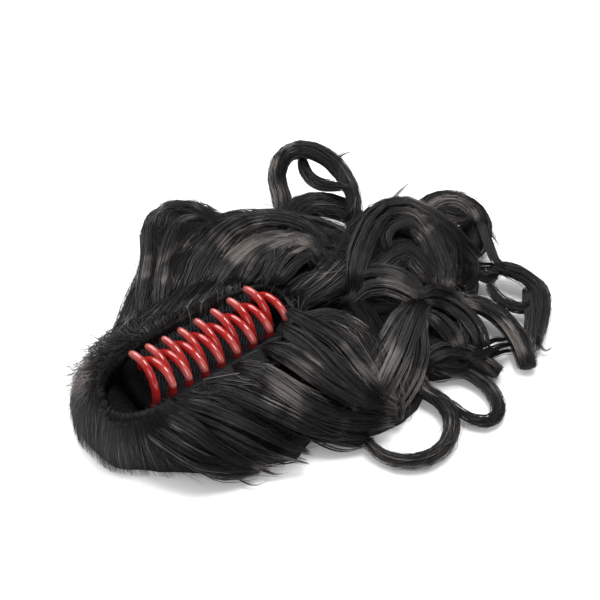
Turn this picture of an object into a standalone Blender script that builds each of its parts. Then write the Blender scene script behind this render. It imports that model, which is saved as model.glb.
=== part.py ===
"""Claw-clip ponytail extension.

A red jaw clip stands in an oval net band, teeth up, and long curly black hair is sewn to the
band's rim. The piece lies on its back: the hair spreads over the floor and ends in loose rings.

The layout is drawn from the middle of the clip: +X runs along the clip towards the tail, +Y
across it, +Z up from the floor. The last step moves the model onto the middle of its own box.
"""
import math
from collections import namedtuple

import bmesh
import bpy
from mathutils import Matrix, Vector

# Driving dimensions, in metres
PILE_LENGTH = 0.300        # the spread hair, along the clip
PILE_WIDTH = 0.250         # the spread hair, across the clip
PILE_HEIGHT = 0.050        # the highest lock above the floor
LOCK_WIDTH = 0.028         # a full lock across
LOCK_DEPTH = 0.016         # a full lock through
SECTION_STEP = 0.0085      # between the sections of a lock
ROOT_SHARE = 0.55          # a lock's root as a share of the full lock
ROOT_LENGTH = 0.2          # the share of its length in which it fills out
TAPER_START = 0.6          # the share of its length at which it starts to thin
RIM_LENGTH = 0.140         # the band's rim, along the clip
RIM_WIDTH = 0.046          # the band's rim, across the clip
RIM_BACK = 0.0070          # the rim's middle lies this far in front of the clip's
RIM_SKEW = 0.30            # how far the rim's front end is pushed askew
FLOOR_LENGTH = 0.108       # the band's floor, along the clip
FLOOR_WIDTH = 0.036        # the band's floor, across the clip
BAND_DEPTH = 0.0245        # from the floor to the top of the sewn line
BAND_WALL = 0.0014
SEAM_THICK = 0.0026        # the sewn line along the rim
TOOTH_COUNT = 8            # in each jaw
TOOTH_PITCH = 0.0124
TOOTH_THICK = 0.0040
JAW_STAGGER = 0.0037       # each jaw is moved along by this, so that the teeth pass each other
TIP_SHARE = 0.75           # the tooth's tip as a share of its thickness
TIP_LENGTH = 0.25          # the share of the tooth in which it thins
CLIP_SPAN = 0.036          # between the two rows of tips
CLIP_TOP = 0.0345         # the top of the teeth's arch above the band's floor
CLIP_BOW = 0.24            # how much lower the middle teeth are, as a share of CLIP_TOP
SPINE_THICK = 0.0030
SPINE_HEIGHT = 0.0054
SPINE_OVERHANG = 0.0004    # how far the spine runs past its end teeth
GRIP_LENGTH = 0.034
GRIP_THICK = 0.0024
PIN_THICK = 0.0026
PIN_LENGTH = 0.030
KNUCKLE_LENGTH = 0.009
KNUCKLE_WALL = 0.0016
CLEARANCE = 0.0003         # between pieces that touch
POCKET_GAP = 0.0005        # between the band and the hair round it

# How the band lies with its clip: the middle of its floor in metres, and its turn in degrees
BASE_PLACE = (-0.0034, 0.0090, 0.0105)
BASE_ROLL = 15             # about the clip's long way, the far side up
BASE_PITCH = 6             # the front end up
BASE_YAW = 6

SIDES = 8                  # round a lock
MASS_SIDES = 20            # round a mass
MASS_RINGS = 12            # from a mass's foot over its top to the other foot
RIM_STEPS = 44             # round the rim
CROWN_RINGS = 5            # from the rim down to the floor
RIM_SQUARENESS = 3.0       # 2 is an ellipse, more is squarer
FLOOR_SQUARENESS = 5.0
TOOTH_STEPS = 11
PIN_SIDES = 16
CURVE_FINENESS = 12        # readings between two points of a smooth curve
RING_STEP = 30             # degrees between the points of a lock's ring
SHARP_ANGLE = 40           # degrees between faces that meet in a hard edge
WELD = 0.00001
SUNK = 0.004               # how far the hair is drawn below the floor before it is cut flat

# A tooth from its tip to its root: shares of CLIP_SPAN from its tip, and of CLIP_TOP
Tooth = namedtuple("Tooth", "across up")
TOOTH = [
    Tooth(0.07, 0.86),
    Tooth(0.20, 0.95),
    Tooth(0.38, 0.98),
    Tooth(0.58, 0.91),
    Tooth(0.72, 0.75),
    Tooth(0.83, 0.54),
    Tooth(0.86, 0.34),
    Tooth(0.80, 0.20),
]

# The crown of hair that turns down from the rim: the bearing round the rim's middle in degrees,
# and how far out it meets the floor, as a share of PILE_WIDTH
Crown = namedtuple("Crown", "bearing reach")
CROWN = [
    Crown(0, 0.36),
    Crown(45, 0.30),
    Crown(90, 0.18),
    Crown(113, 0.195),
    Crown(135, 0.245),
    Crown(152, 0.27),
    Crown(180, 0.30),
    Crown(200, 0.305),
    Crown(215, 0.28),
    Crown(233, 0.27),
    Crown(258, 0.30),
    Crown(276, 0.345),
    Crown(292, 0.345),
    Crown(325, 0.36),
]

# Masses of hair under the locks. Places and reaches are shares of PILE_LENGTH along and of
# PILE_WIDTH across, the height of PILE_HEIGHT, and the heading is in degrees
Mass = namedtuple("Mass", "name along across reach_along reach_across up heading")
MASSES = [
    Mass("left", 0.15, 0.19, 0.165, 0.17, 0.48, 42),
    Mass("bridge", 0.28, 0.07, 0.15, 0.15, 0.56, 10),
    Mass("tail", 0.42, -0.05, 0.20, 0.16, 0.60, -10),
    Mass("low", 0.20, -0.19, 0.17, 0.17, 0.50, -30),
    Mass("right", 0.405, -0.215, 0.115, 0.12, 0.44, -35),
]

# Locks of hair: the width and depth are shares of LOCK_WIDTH and LOCK_DEPTH, and the tip is a
# share of the full lock
Lock = namedtuple("Lock", "name wide deep tip")
LOCKS = [
    Lock("left_outer", 0.90, 1.00, 0.55),
    Lock("left_middle", 1.00, 1.10, 0.50),
    Lock("left_inner", 1.00, 1.10, 0.50),
    Lock("end_fan", 0.90, 1.00, 0.50),
    Lock("top_ring", 0.42, 0.62, 0.60),
    Lock("top_inside", 0.30, 0.40, 0.60),
    Lock("top_filling", 0.70, 0.60, 0.50),
    Lock("right_lump", 1.05, 1.20, 0.60),
    Lock("right_inner", 0.90, 1.10, 0.50),
    Lock("back_ring", 0.82, 0.62, 0.60),
    Lock("side_ring", 0.28, 0.46, 0.60),
    Lock("far_ribbon", 0.32, 0.52, 0.45),
    Lock("end_ribbon", 0.44, 0.54, 0.95),
    Lock("low_ribbon", 0.54, 0.58, 0.60),
    Lock("small_ring", 0.28, 0.46, 0.60),
    Lock("big_ring", 0.32, 0.50, 0.60),
    Lock("wave", 0.85, 1.00, 0.50),
    Lock("fall_first", 0.85, 0.80, 0.40),
    Lock("fall_second", 1.00, 0.90, 0.40),
    Lock("fall_third", 1.00, 1.00, 0.40),
    Lock("fall_fourth", 0.95, 1.00, 0.40),
    Lock("cross", 0.72, 0.90, 0.50),
]

# The bends that each lock passes, from its root: shares of PILE_LENGTH, PILE_WIDTH and
# PILE_HEIGHT from the middle of the clip
Bend = namedtuple("Bend", "lock along across up")
BENDS = [
    Bend("left_outer", -0.137, 0.150, 0.56),
    Bend("left_outer", -0.053, 0.212, 0.52),
    Bend("left_outer", 0.042, 0.310, 0.40),
    Bend("left_outer", 0.108, 0.412, 0.32),
    Bend("left_outer", 0.165, 0.470, 0.28),
    Bend("left_outer", 0.208, 0.466, 0.26),
    Bend("left_outer", 0.230, 0.405, 0.28),
    Bend("left_outer", 0.237, 0.324, 0.32),
    Bend("left_middle", -0.047, 0.136, 0.56),
    Bend("left_middle", 0.030, 0.224, 0.54),
    Bend("left_middle", 0.123, 0.312, 0.44),
    Bend("left_middle", 0.208, 0.352, 0.36),
    Bend("left_middle", 0.285, 0.336, 0.30),
    Bend("left_middle", 0.335, 0.286, 0.28),
    Bend("left_middle", 0.360, 0.216, 0.24),
    Bend("left_inner", 0.053, 0.140, 0.58),
    Bend("left_inner", 0.140, 0.208, 0.58),
    Bend("left_inner", 0.230, 0.256, 0.50),
    Bend("left_inner", 0.313, 0.240, 0.40),
    Bend("left_inner", 0.350, 0.168, 0.32),
    Bend("left_inner", 0.360, 0.092, 0.24),
    Bend("end_fan", 0.177, 0.092, 0.58),
    Bend("end_fan", 0.257, 0.140, 0.60),
    Bend("end_fan", 0.333, 0.168, 0.52),
    Bend("end_fan", 0.390, 0.136, 0.44),
    Bend("end_fan", 0.400, 0.052, 0.36),
    Bend("top_ring", 0.300, 0.210, 0.30),
    Bend("top_ring", 0.335, 0.275, 0.34),
    Bend("top_inside", 0.459, 0.384, 0.74),
    Bend("top_inside", 0.451, 0.352, 0.60),
    Bend("top_inside", 0.456, 0.300, 0.56),
    Bend("top_inside", 0.474, 0.222, 0.74),
    Bend("top_filling", 0.300, 0.200, 0.44),
    Bend("top_filling", 0.352, 0.262, 0.46),
    Bend("top_filling", 0.410, 0.272, 0.46),
    Bend("top_filling", 0.458, 0.215, 0.44),
    Bend("top_filling", 0.465, 0.120, 0.44),
    Bend("right_lump", 0.207, -0.008, 0.60),
    Bend("right_lump", 0.303, 0.004, 0.64),
    Bend("right_lump", 0.397, 0.048, 0.66),
    Bend("right_lump", 0.470, 0.076, 0.68),
    Bend("right_lump", 0.520, 0.056, 0.68),
    Bend("right_lump", 0.534, -0.008, 0.64),
    Bend("right_lump", 0.515, -0.084, 0.56),
    Bend("right_lump", 0.463, -0.152, 0.44),
    Bend("right_inner", 0.297, -0.060, 0.48),
    Bend("right_inner", 0.377, -0.040, 0.58),
    Bend("right_inner", 0.433, -0.028, 0.62),
    Bend("right_inner", 0.470, -0.050, 0.60),
    Bend("right_inner", 0.480, -0.110, 0.52),
    Bend("right_inner", 0.493, -0.180, 0.38),
    Bend("back_ring", 0.500, 0.050, 0.52),
    Bend("side_ring", 0.560, -0.100, 0.34),
    Bend("far_ribbon", 0.620, -0.155, 0.30),
    Bend("far_ribbon", 0.650, -0.218, 0.29),
    Bend("far_ribbon", 0.653, -0.284, 0.27),
    Bend("far_ribbon", 0.609, -0.346, 0.22),
    Bend("far_ribbon", 0.560, -0.394, 0.17),
    Bend("end_ribbon", 0.440, -0.164, 0.44),
    Bend("end_ribbon", 0.483, -0.192, 0.40),
    Bend("end_ribbon", 0.527, -0.240, 0.32),
    Bend("end_ribbon", 0.543, -0.300, 0.24),
    Bend("end_ribbon", 0.532, -0.374, 0.18),
    Bend("end_ribbon", 0.508, -0.432, 0.14),
    Bend("low_ribbon", 0.307, -0.168, 0.44),
    Bend("low_ribbon", 0.330, -0.248, 0.36),
    Bend("low_ribbon", 0.367, -0.304, 0.28),
    Bend("low_ribbon", 0.425, -0.344, 0.22),
    Bend("low_ribbon", 0.453, -0.408, 0.16),
    Bend("small_ring", 0.327, -0.216, 0.40),
    Bend("small_ring", 0.352, -0.264, 0.28),
    Bend("big_ring", 0.290, -0.220, 0.40),
    Bend("big_ring", 0.312, -0.290, 0.26),
    Bend("wave", 0.170, -0.050, 0.56),
    Bend("wave", 0.220, -0.100, 0.58),
    Bend("wave", 0.243, -0.168, 0.54),
    Bend("wave", 0.243, -0.244, 0.44),
    Bend("wave", 0.227, -0.320, 0.30),
    Bend("wave", 0.207, -0.368, 0.16),
    Bend("fall_first", -0.163, -0.120, 0.54),
    Bend("fall_first", -0.153, -0.172, 0.44),
    Bend("fall_first", -0.120, -0.228, 0.24),
    Bend("fall_first", -0.057, -0.284, 0.12),
    Bend("fall_second", -0.090, -0.120, 0.56),
    Bend("fall_second", -0.073, -0.176, 0.52),
    Bend("fall_second", -0.037, -0.240, 0.34),
    Bend("fall_second", 0.000, -0.300, 0.16),
    Bend("fall_third", -0.007, -0.120, 0.58),
    Bend("fall_third", 0.023, -0.160, 0.56),
    Bend("fall_third", 0.063, -0.240, 0.44),
    Bend("fall_third", 0.103, -0.312, 0.26),
    Bend("fall_third", 0.140, -0.368, 0.14),
    Bend("fall_fourth", 0.093, -0.110, 0.58),
    Bend("fall_fourth", 0.127, -0.144, 0.58),
    Bend("fall_fourth", 0.163, -0.216, 0.48),
    Bend("fall_fourth", 0.170, -0.296, 0.32),
    Bend("fall_fourth", 0.163, -0.360, 0.16),
    Bend("cross", 0.447, -0.148, 0.50),
    Bend("cross", 0.360, -0.192, 0.52),
    Bend("cross", 0.300, -0.240, 0.44),
    Bend("cross", 0.237, -0.292, 0.32),
    Bend("cross", 0.150, -0.332, 0.18),
]

# The rings that some locks end in. The middle and the reaches are shares as above, the ring
# starts at a bearing in degrees and turns clockwise by the turn, and one side of it, at the
# rise's bearing, stands higher by the rise
Ring = namedtuple("Ring", "lock along across up reach_along reach_across start turn rise rise_at")
RINGS = [
    Ring("top_ring", 0.430, 0.280, 0.56, 0.060, 0.136, 158, 245, 0.28, 30),
    Ring("back_ring", 0.612, 0.004, 0.34, 0.057, 0.063, 130, 235, 0.16, 70),
    Ring("side_ring", 0.620, -0.224, 0.22, 0.043, 0.066, 125, 345, 0.05, 90),
    Ring("small_ring", 0.370, -0.412, 0.13, 0.043, 0.084, 78, 265, 0.03, 90),
    Ring("big_ring", 0.225, -0.388, 0.15, 0.088, 0.108, 28, 222, 0.03, 60),
]

# Colours: red, green, blue
CLIP_RED = (0.55, 0.03, 0.02)
HAIR_BLACK = (0.012, 0.011, 0.011)
NET_BLACK = (0.02, 0.02, 0.02)
SEAM_GREY = (0.06, 0.055, 0.055)


def clear_scene():
    for thing in list(bpy.data.objects):
        bpy.data.objects.remove(thing, do_unlink=True)


def new_collection(name):
    collection = bpy.data.collections.new(name)
    bpy.context.scene.collection.children.link(collection)
    return collection


def new_material(name, colour, roughness, metallic=0.0):
    material = bpy.data.materials.new(name)
    material.use_nodes = True
    shader = material.node_tree.nodes["Principled BSDF"]
    shader.inputs["Base Color"].default_value = (*colour, 1.0)
    shader.inputs["Roughness"].default_value = roughness
    shader.inputs["Metallic"].default_value = metallic
    material.diffuse_color = (*colour, 1.0)
    return material


def new_object(name, bm, collection, material=None):
    """Make an object from a bmesh, its faces turned outwards."""
    bmesh.ops.recalc_face_normals(bm, faces=bm.faces)
    mesh = bpy.data.meshes.new(name)
    bm.to_mesh(mesh)
    bm.free()
    mesh.shade_smooth()
    mesh.set_sharp_from_angle(angle=math.radians(SHARP_ANGLE))
    if material is not None:
        mesh.materials.append(material)
    thing = bpy.data.objects.new(name, mesh)
    collection.objects.link(thing)
    return thing


def make_cutter(thing):
    thing.hide_render = True
    thing.display_type = 'WIRE'


def combine(thing, operation, operand):
    """Join or cut with a Boolean, the operand an object or a collection."""
    modifier = thing.modifiers.new(operation.lower(), 'BOOLEAN')
    modifier.operation = operation
    modifier.solver = 'EXACT'
    if isinstance(operand, bpy.types.Collection):
        modifier.operand_type = 'COLLECTION'
        modifier.collection = operand
    else:
        modifier.object = operand
    return modifier


def smooth_curve(points, step):
    """Pass a smooth curve through the points and read it at even steps."""
    points = [Vector(point) for point in points]
    ends = [points[0] * 2 - points[1]] + points + [points[-1] * 2 - points[-2]]
    fine = []
    for before, start, end, after in zip(ends, ends[1:], ends[2:], ends[3:]):
        for index in range(CURVE_FINENESS):
            t = index / CURVE_FINENESS
            fine.append(0.5 * (2 * start + (end - before) * t
                               + (2 * before - 5 * start + 4 * end - after) * t * t
                               + (3 * start - before - 3 * end + after) * t ** 3))
    fine.append(points[-1])
    reached = [0.0]
    for first, second in zip(fine, fine[1:]):
        reached.append(reached[-1] + (second - first).length)
    count = max(6, round(reached[-1] / step))
    even = []
    place = 0
    for index in range(count + 1):
        wanted = reached[-1] * index / count
        while place < len(fine) - 2 and reached[place + 1] < wanted:
            place += 1
        share = (wanted - reached[place]) / (reached[place + 1] - reached[place])
        even.append(fine[place].lerp(fine[place + 1], share))
    return even


def add_loft(bm, sections):
    """Skin closed sections of equal length into one closed body."""
    loops = [[bm.verts.new(point) for point in section] for section in sections]
    for lower, upper in zip(loops, loops[1:]):
        for index in range(len(lower)):
            after = (index + 1) % len(lower)
            bm.faces.new((lower[index], lower[after], upper[after], upper[index]))
    bm.faces.new(loops[0])
    bm.faces.new(loops[-1])


def rim_point(angle, shrink=0.0, rise=1.0):
    """A point on the band's oval, drawn in by shrink. rise is 0 at its floor and 1 at its rim."""
    half_long = (FLOOR_LENGTH + (RIM_LENGTH - FLOOR_LENGTH) * rise) / 2 - shrink
    half_wide = (FLOOR_WIDTH + (RIM_WIDTH - FLOOR_WIDTH) * rise) / 2 - shrink
    power = 2 / (FLOOR_SQUARENESS + (RIM_SQUARENESS - FLOOR_SQUARENESS) * rise)
    cosine = math.cos(angle)
    sine = math.sin(angle)
    along = half_long * math.copysign(abs(cosine) ** power, cosine)
    across = half_wide * math.copysign(abs(sine) ** power, sine)
    askew = RIM_SKEW * across * max(0.0, -along / half_long)
    return Vector((along + (askew - RIM_BACK) * rise, across, 0))


def base_frame():
    """Where the band and the clip lie: the middle of the band's floor, and its turn."""
    turn = (Matrix.Rotation(math.radians(BASE_YAW), 4, 'Z')
            @ Matrix.Rotation(math.radians(BASE_PITCH), 4, 'Y')
            @ Matrix.Rotation(math.radians(BASE_ROLL), 4, 'X'))
    return Matrix.Translation(BASE_PLACE) @ turn


def rim_angles():
    return [2 * math.pi * index / RIM_STEPS for index in range(RIM_STEPS)]


def crown_reach(bearing):
    """Read the crown's reach at a bearing, smoothly between its rows."""
    rows = CROWN + [Crown(CROWN[0].bearing + 360, CROWN[0].reach)]
    bearing = bearing % 360
    for low, high in zip(rows, rows[1:]):
        if bearing <= high.bearing:
            share = (bearing - low.bearing) / (high.bearing - low.bearing)
            share = share * share * (3 - 2 * share)
            return (low.reach + (high.reach - low.reach) * share) * PILE_WIDTH
    return rows[-1].reach * PILE_WIDTH


def make_crown():
    """The crown: a loft from the floor, out round the rim, up to the rim's height."""
    frame = base_frame()
    middle = frame @ Vector((-RIM_BACK, 0, 0))
    middle.z = 0
    sections = []
    for ring in range(CROWN_RINGS + 1):
        quarter = math.pi / 2 * ring / CROWN_RINGS
        section = []
        for angle in rim_angles():
            rim = frame @ (rim_point(angle) + Vector((0, 0, BAND_DEPTH)))
            outward = Vector((rim.x, rim.y, 0)) - middle
            bearing = math.degrees(math.atan2(outward.y, outward.x))
            foot = middle + outward.normalized() * crown_reach(bearing)
            point = rim.lerp(foot, math.cos(quarter))
            point.z = rim.z * math.sin(quarter)
            section.append(point)
        sections.append(section)
    sections.insert(0, [point - Vector((0, 0, SUNK)) for point in sections[0]])
    bm = bmesh.new()
    add_loft(bm, sections)
    return bm


def make_mass(mass):
    """A low mound of hair, the upper half of a squashed ball."""
    bm = bmesh.new()
    bmesh.ops.create_uvsphere(bm, u_segments=MASS_SIDES, v_segments=MASS_RINGS, radius=1.0)
    turn = Matrix.Rotation(math.radians(mass.heading), 4, 'Z')
    size = Matrix.Diagonal((mass.reach_along * PILE_LENGTH, mass.reach_across * PILE_WIDTH,
                            mass.up * PILE_HEIGHT, 1))
    place = Matrix.Translation((mass.along * PILE_LENGTH, mass.across * PILE_WIDTH, 0))
    bmesh.ops.transform(bm, matrix=place @ turn @ size, verts=bm.verts)
    return bm


def lock_route(lock):
    """The middle line of a lock: its bends, then its ring if it has one."""
    points = [Vector((bend.along * PILE_LENGTH, bend.across * PILE_WIDTH, bend.up * PILE_HEIGHT))
              for bend in BENDS if bend.lock == lock.name]
    for ring in RINGS:
        if ring.lock != lock.name:
            continue
        steps = max(3, round(ring.turn / RING_STEP))
        for index in range(steps + 1):
            bearing = math.radians(ring.start - ring.turn * index / steps)
            rise = ring.rise * math.cos(bearing - math.radians(ring.rise_at))
            along = ring.along + ring.reach_along * math.cos(bearing)
            across = ring.across + ring.reach_across * math.sin(bearing)
            points.append(Vector((along * PILE_LENGTH, across * PILE_WIDTH,
                                  (ring.up + rise) * PILE_HEIGHT)))
    return smooth_curve(points, SECTION_STEP)


def lock_swell(share, tip):
    """How full a lock is along its length: drawn in at the root, thinner at the tip."""
    root = ROOT_SHARE + (1 - ROOT_SHARE) * min(1.0, share / ROOT_LENGTH)
    taper = max(0.0, (share - TAPER_START) / (1 - TAPER_START))
    return root * (1 - (1 - tip) * taper ** 1.5)


def make_lock(lock):
    """Loft an oval section along the lock's middle line, its wide way lying flat."""
    route = lock_route(lock)
    bm = bmesh.new()
    sections = []
    for index, point in enumerate(route):
        ahead = route[min(index + 1, len(route) - 1)] - route[max(index - 1, 0)]
        side = ahead.cross(Vector((0, 0, 1))).normalized()
        rise = side.cross(ahead).normalized()
        swell = lock_swell(index / (len(route) - 1), lock.tip)
        half_wide = lock.wide * LOCK_WIDTH / 2 * swell
        half_deep = lock.deep * LOCK_DEPTH / 2 * swell
        section = []
        for step in range(SIDES):
            angle = 2 * math.pi * (step + 0.5) / SIDES
            section.append(point + side * half_wide * math.cos(angle)
                           + rise * half_deep * math.sin(angle))
        sections.append(section)
    add_loft(bm, sections)
    return bm


def oval_ring(shrink, rise, height):
    return [rim_point(angle, shrink, rise) + Vector((0, 0, height)) for angle in rim_angles()]


def make_hair(collection, cutters, material):
    """Join the crown, the masses and the locks, then cut the floor and the band's pocket."""
    hair = new_object("hair", make_crown(), collection, material)
    joined = new_collection("hair_locks")
    for mass in MASSES:
        make_cutter(new_object("mass_" + mass.name, make_mass(mass), joined))
    for lock in LOCKS:
        make_cutter(new_object("lock_" + lock.name, make_lock(lock), joined))
    modifier = combine(hair, 'UNION', joined)
    modifier.use_self = True

    bm = bmesh.new()
    bmesh.ops.create_cube(bm, size=1.0)
    size = Matrix.Diagonal((PILE_LENGTH * 3, PILE_WIDTH * 3, PILE_HEIGHT, 1))
    place = Matrix.Translation((0, 0, -PILE_HEIGHT / 2))
    bmesh.ops.transform(bm, matrix=place @ size, verts=bm.verts)
    floor = new_object("floor_cut", bm, cutters)
    make_cutter(floor)
    combine(hair, 'DIFFERENCE', floor)

    pocket = new_object("pocket_cut", make_pocket(), cutters)
    make_cutter(pocket)
    combine(hair, 'DIFFERENCE', pocket)
    return hair


def make_pocket():
    """The hollow in the hair: the band's outer form and a clearance, open above the rim."""
    bm = bmesh.new()
    rim = BAND_DEPTH - SEAM_THICK
    add_loft(bm, [oval_ring(-POCKET_GAP, 0, -POCKET_GAP),
                  oval_ring(-POCKET_GAP, 1, rim),
                  oval_ring(-POCKET_GAP, 1, rim + PILE_HEIGHT)])
    bm.transform(base_frame())
    return bm


def make_band(collection, material):
    """The net band: an oval bowl, open at the top, with a thin wall."""
    bm = bmesh.new()
    rim = BAND_DEPTH - SEAM_THICK
    add_loft(bm, [oval_ring(0, 0, 0),
                  oval_ring(0, 1, rim),
                  oval_ring(BAND_WALL, 1, rim),
                  oval_ring(BAND_WALL, 0, BAND_WALL)])
    bm.transform(base_frame())
    return new_object("base_band", bm, collection, material)


def make_seam(collection, material):
    """The sewn line that runs along the band's rim."""
    curve = bpy.data.curves.new("weft_seam", 'CURVE')
    curve.dimensions = '3D'
    curve.bevel_depth = SEAM_THICK / 2
    curve.bevel_resolution = 1
    spline = curve.splines.new('POLY')
    angles = rim_angles()
    spline.points.add(len(angles) - 1)
    height = BAND_DEPTH - SEAM_THICK / 2 + CLEARANCE
    for point, angle in zip(spline.points, angles):
        place = base_frame() @ (rim_point(angle, SEAM_THICK / 2) + Vector((0, 0, height)))
        point.co = (*place, 1)
    spline.use_cyclic_u = True
    return curve_to_object("weft_seam", curve, collection, material)


def curve_to_object(name, curve, collection, material):
    """Turn a curve into a mesh object with welded caps."""
    drawn = bpy.data.objects.new(name + "_curve", curve)
    collection.objects.link(drawn)
    bpy.context.view_layer.update()
    evaluated = drawn.evaluated_get(bpy.context.evaluated_depsgraph_get())
    mesh = bpy.data.meshes.new_from_object(evaluated)
    bpy.data.objects.remove(drawn, do_unlink=True)
    bm = bmesh.new()
    bm.from_mesh(mesh)
    bpy.data.meshes.remove(mesh)
    bmesh.ops.remove_doubles(bm, verts=bm.verts, dist=WELD)
    return new_object(name, bm, collection, material)


def tooth_points(place=0.0):
    """A tooth's middle line from its tip, lower in the middle of the row. place runs 0 to 1."""
    lower = 1 - CLIP_BOW * (1 - (2 * place - 1) ** 2)
    route = []
    for row in TOOTH:
        share = (row.up - TOOTH[-1].up) * lower + TOOTH[-1].up
        route.append(Vector((0, CLIP_SPAN * (0.5 - row.across), CLIP_TOP * share)))
    length = sum((second - first).length for first, second in zip(route, route[1:]))
    return smooth_curve(route, length / TOOTH_STEPS)


def make_tooth(name, index, along, side, collection):
    """One curved tooth as a bevelled curve, thinner and rounder at its tip."""
    curve = bpy.data.curves.new(name, 'CURVE')
    curve.dimensions = '3D'
    curve.bevel_depth = TOOTH_THICK / 2
    curve.bevel_resolution = 2
    curve.use_fill_caps = True
    points = tooth_points(index / (TOOTH_COUNT - 1))
    spline = curve.splines.new('POLY')
    spline.points.add(len(points) - 1)
    for step, (point, place) in enumerate(zip(spline.points, points)):
        point.co = (along, place.y * side, place.z, 1)
        share = step / (len(points) - 1)
        point.radius = TIP_SHARE + (1 - TIP_SHARE) * min(1.0, share / TIP_LENGTH)
    return curve_to_object(name, curve, collection, None)


def add_box(bm, low, high):
    middle = (Vector(low) + Vector(high)) / 2
    size = Vector(high) - Vector(low)
    matrix = Matrix.Translation(middle) @ Matrix.Diagonal((*size, 1))
    bmesh.ops.create_cube(bm, size=1.0, matrix=matrix)


def add_rod(bm, radius, low, high, across, height):
    """A cylinder along X between two places."""
    matrix = Matrix.Translation(((low + high) / 2, across, height)) @ Matrix.Rotation(
        math.pi / 2, 4, 'Y')
    bmesh.ops.create_cone(bm, cap_ends=True, segments=PIN_SIDES, radius1=radius, radius2=radius,
                          depth=high - low, matrix=matrix)


def pin_height():
    """The pin lies low between the spines, clear of the band's floor."""
    return BAND_WALL + CLEARANCE + KNUCKLE_WALL + CLEARANCE + PIN_THICK / 2


def make_jaw(name, side, collection, cutters, material):
    """One half of the clip. side is 1 where the tips point to +Y and the root lies at -Y."""
    root = tooth_points()[-1]
    spine_across = root.y * side
    spine_low = BAND_WALL + CLEARANCE
    spine_high = root.z + SPINE_HEIGHT / 2
    half = (TOOTH_COUNT - 1) * TOOTH_PITCH / 2 + TOOTH_THICK / 2 + SPINE_OVERHANG
    shift = -JAW_STAGGER * side

    bm = bmesh.new()
    add_box(bm, (shift - half, spine_across - SPINE_THICK / 2, root.z - SPINE_HEIGHT / 2),
            (shift + half, spine_across + SPINE_THICK / 2, spine_high))
    jaw = new_object(name, bm, collection, material)

    joined = new_collection(name + "_pieces")
    for index in range(TOOTH_COUNT):
        along = shift + (index - (TOOTH_COUNT - 1) / 2) * TOOTH_PITCH
        tooth = make_tooth(f"{name}_tooth_{index + 1}", index, along, side, joined)
        make_cutter(tooth)

    inner = spine_across - math.copysign(SPINE_THICK / 2, spine_across)
    knuckle_low = min(0, side * (KNUCKLE_LENGTH + CLEARANCE))
    knuckle_high = knuckle_low + KNUCKLE_LENGTH + CLEARANCE
    bm = bmesh.new()
    outer = PIN_THICK / 2 + CLEARANCE + KNUCKLE_WALL
    add_rod(bm, outer, knuckle_low + CLEARANCE / 2, knuckle_high - CLEARANCE / 2, 0, pin_height())
    make_cutter(new_object(name + "_knuckle", bm, joined))
    bm = bmesh.new()
    reach = sorted((math.copysign(PIN_THICK, spine_across), inner + math.copysign(
        SPINE_THICK / 2, spine_across)))
    add_box(bm, (knuckle_low + CLEARANCE / 2, reach[0], pin_height() - GRIP_THICK / 2),
            (knuckle_high - CLEARANCE / 2, reach[1], pin_height() + GRIP_THICK / 2))
    make_cutter(new_object(name + "_arm", bm, joined))
    bm = bmesh.new()
    add_box(bm, (-GRIP_LENGTH / 2, spine_across - GRIP_THICK / 2, spine_low),
            (GRIP_LENGTH / 2, spine_across + GRIP_THICK / 2, root.z))
    make_cutter(new_object(name + "_grip", bm, joined))
    combine(jaw, 'UNION', joined).use_self = True

    bm = bmesh.new()
    add_rod(bm, PIN_THICK / 2 + CLEARANCE, -PIN_LENGTH, PIN_LENGTH, 0, pin_height())
    bore = new_object(name + "_bore", bm, cutters)
    make_cutter(bore)
    combine(jaw, 'DIFFERENCE', bore)
    for thing in (jaw, bore, *joined.objects):
        thing.data.transform(base_frame())
    return jaw


def make_pin(collection, material):
    bm = bmesh.new()
    add_rod(bm, PIN_THICK / 2, -PIN_LENGTH / 2, PIN_LENGTH / 2, 0, pin_height())
    bm.transform(base_frame())
    return new_object("hinge_pin", bm, collection, material)


def centre_on_floor(pieces):
    """Move the pieces and their cutters so that the origin is the middle of the box's floor."""
    bpy.context.view_layer.update()
    graph = bpy.context.evaluated_depsgraph_get()
    corners = [piece.matrix_world @ Vector(vertex.co) for piece in pieces
               for vertex in piece.evaluated_get(graph).data.vertices]
    low = Vector([min(corner[axis] for corner in corners) for axis in range(3)])
    high = Vector([max(corner[axis] for corner in corners) for axis in range(3)])
    shift = Vector((-(low.x + high.x) / 2, -(low.y + high.y) / 2, -low.z))
    for thing in bpy.data.objects:
        thing.data.transform(Matrix.Translation(shift))
    bpy.context.view_layer.update()


def main():
    clear_scene()
    ponytail = new_collection("ponytail_extension")
    cutters = new_collection("cutters")
    red = new_material("clip_plastic", CLIP_RED, 0.18)
    black = new_material("black_hair", HAIR_BLACK, 0.42)
    net = new_material("net_band", NET_BLACK, 0.8)
    grey = new_material("weft_thread", SEAM_GREY, 0.7)
    pieces = [
        make_jaw("claw_jaw_near", 1, ponytail, cutters, red),
        make_jaw("claw_jaw_far", -1, ponytail, cutters, red),
        make_pin(ponytail, red),
        make_band(ponytail, net),
        make_seam(ponytail, grey),
        make_hair(ponytail, cutters, black),
    ]
    centre_on_floor(pieces)


main()
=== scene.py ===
"""Looks for the claw-clip ponytail: curly black hair on a red jaw clip, lying on a pale floor."""

import math
from collections import namedtuple

import bmesh
import bpy
import numpy as np
from mathutils import Matrix, Vector
from mathutils.bvhtree import BVHTree
from mathutils.kdtree import KDTree


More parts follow.
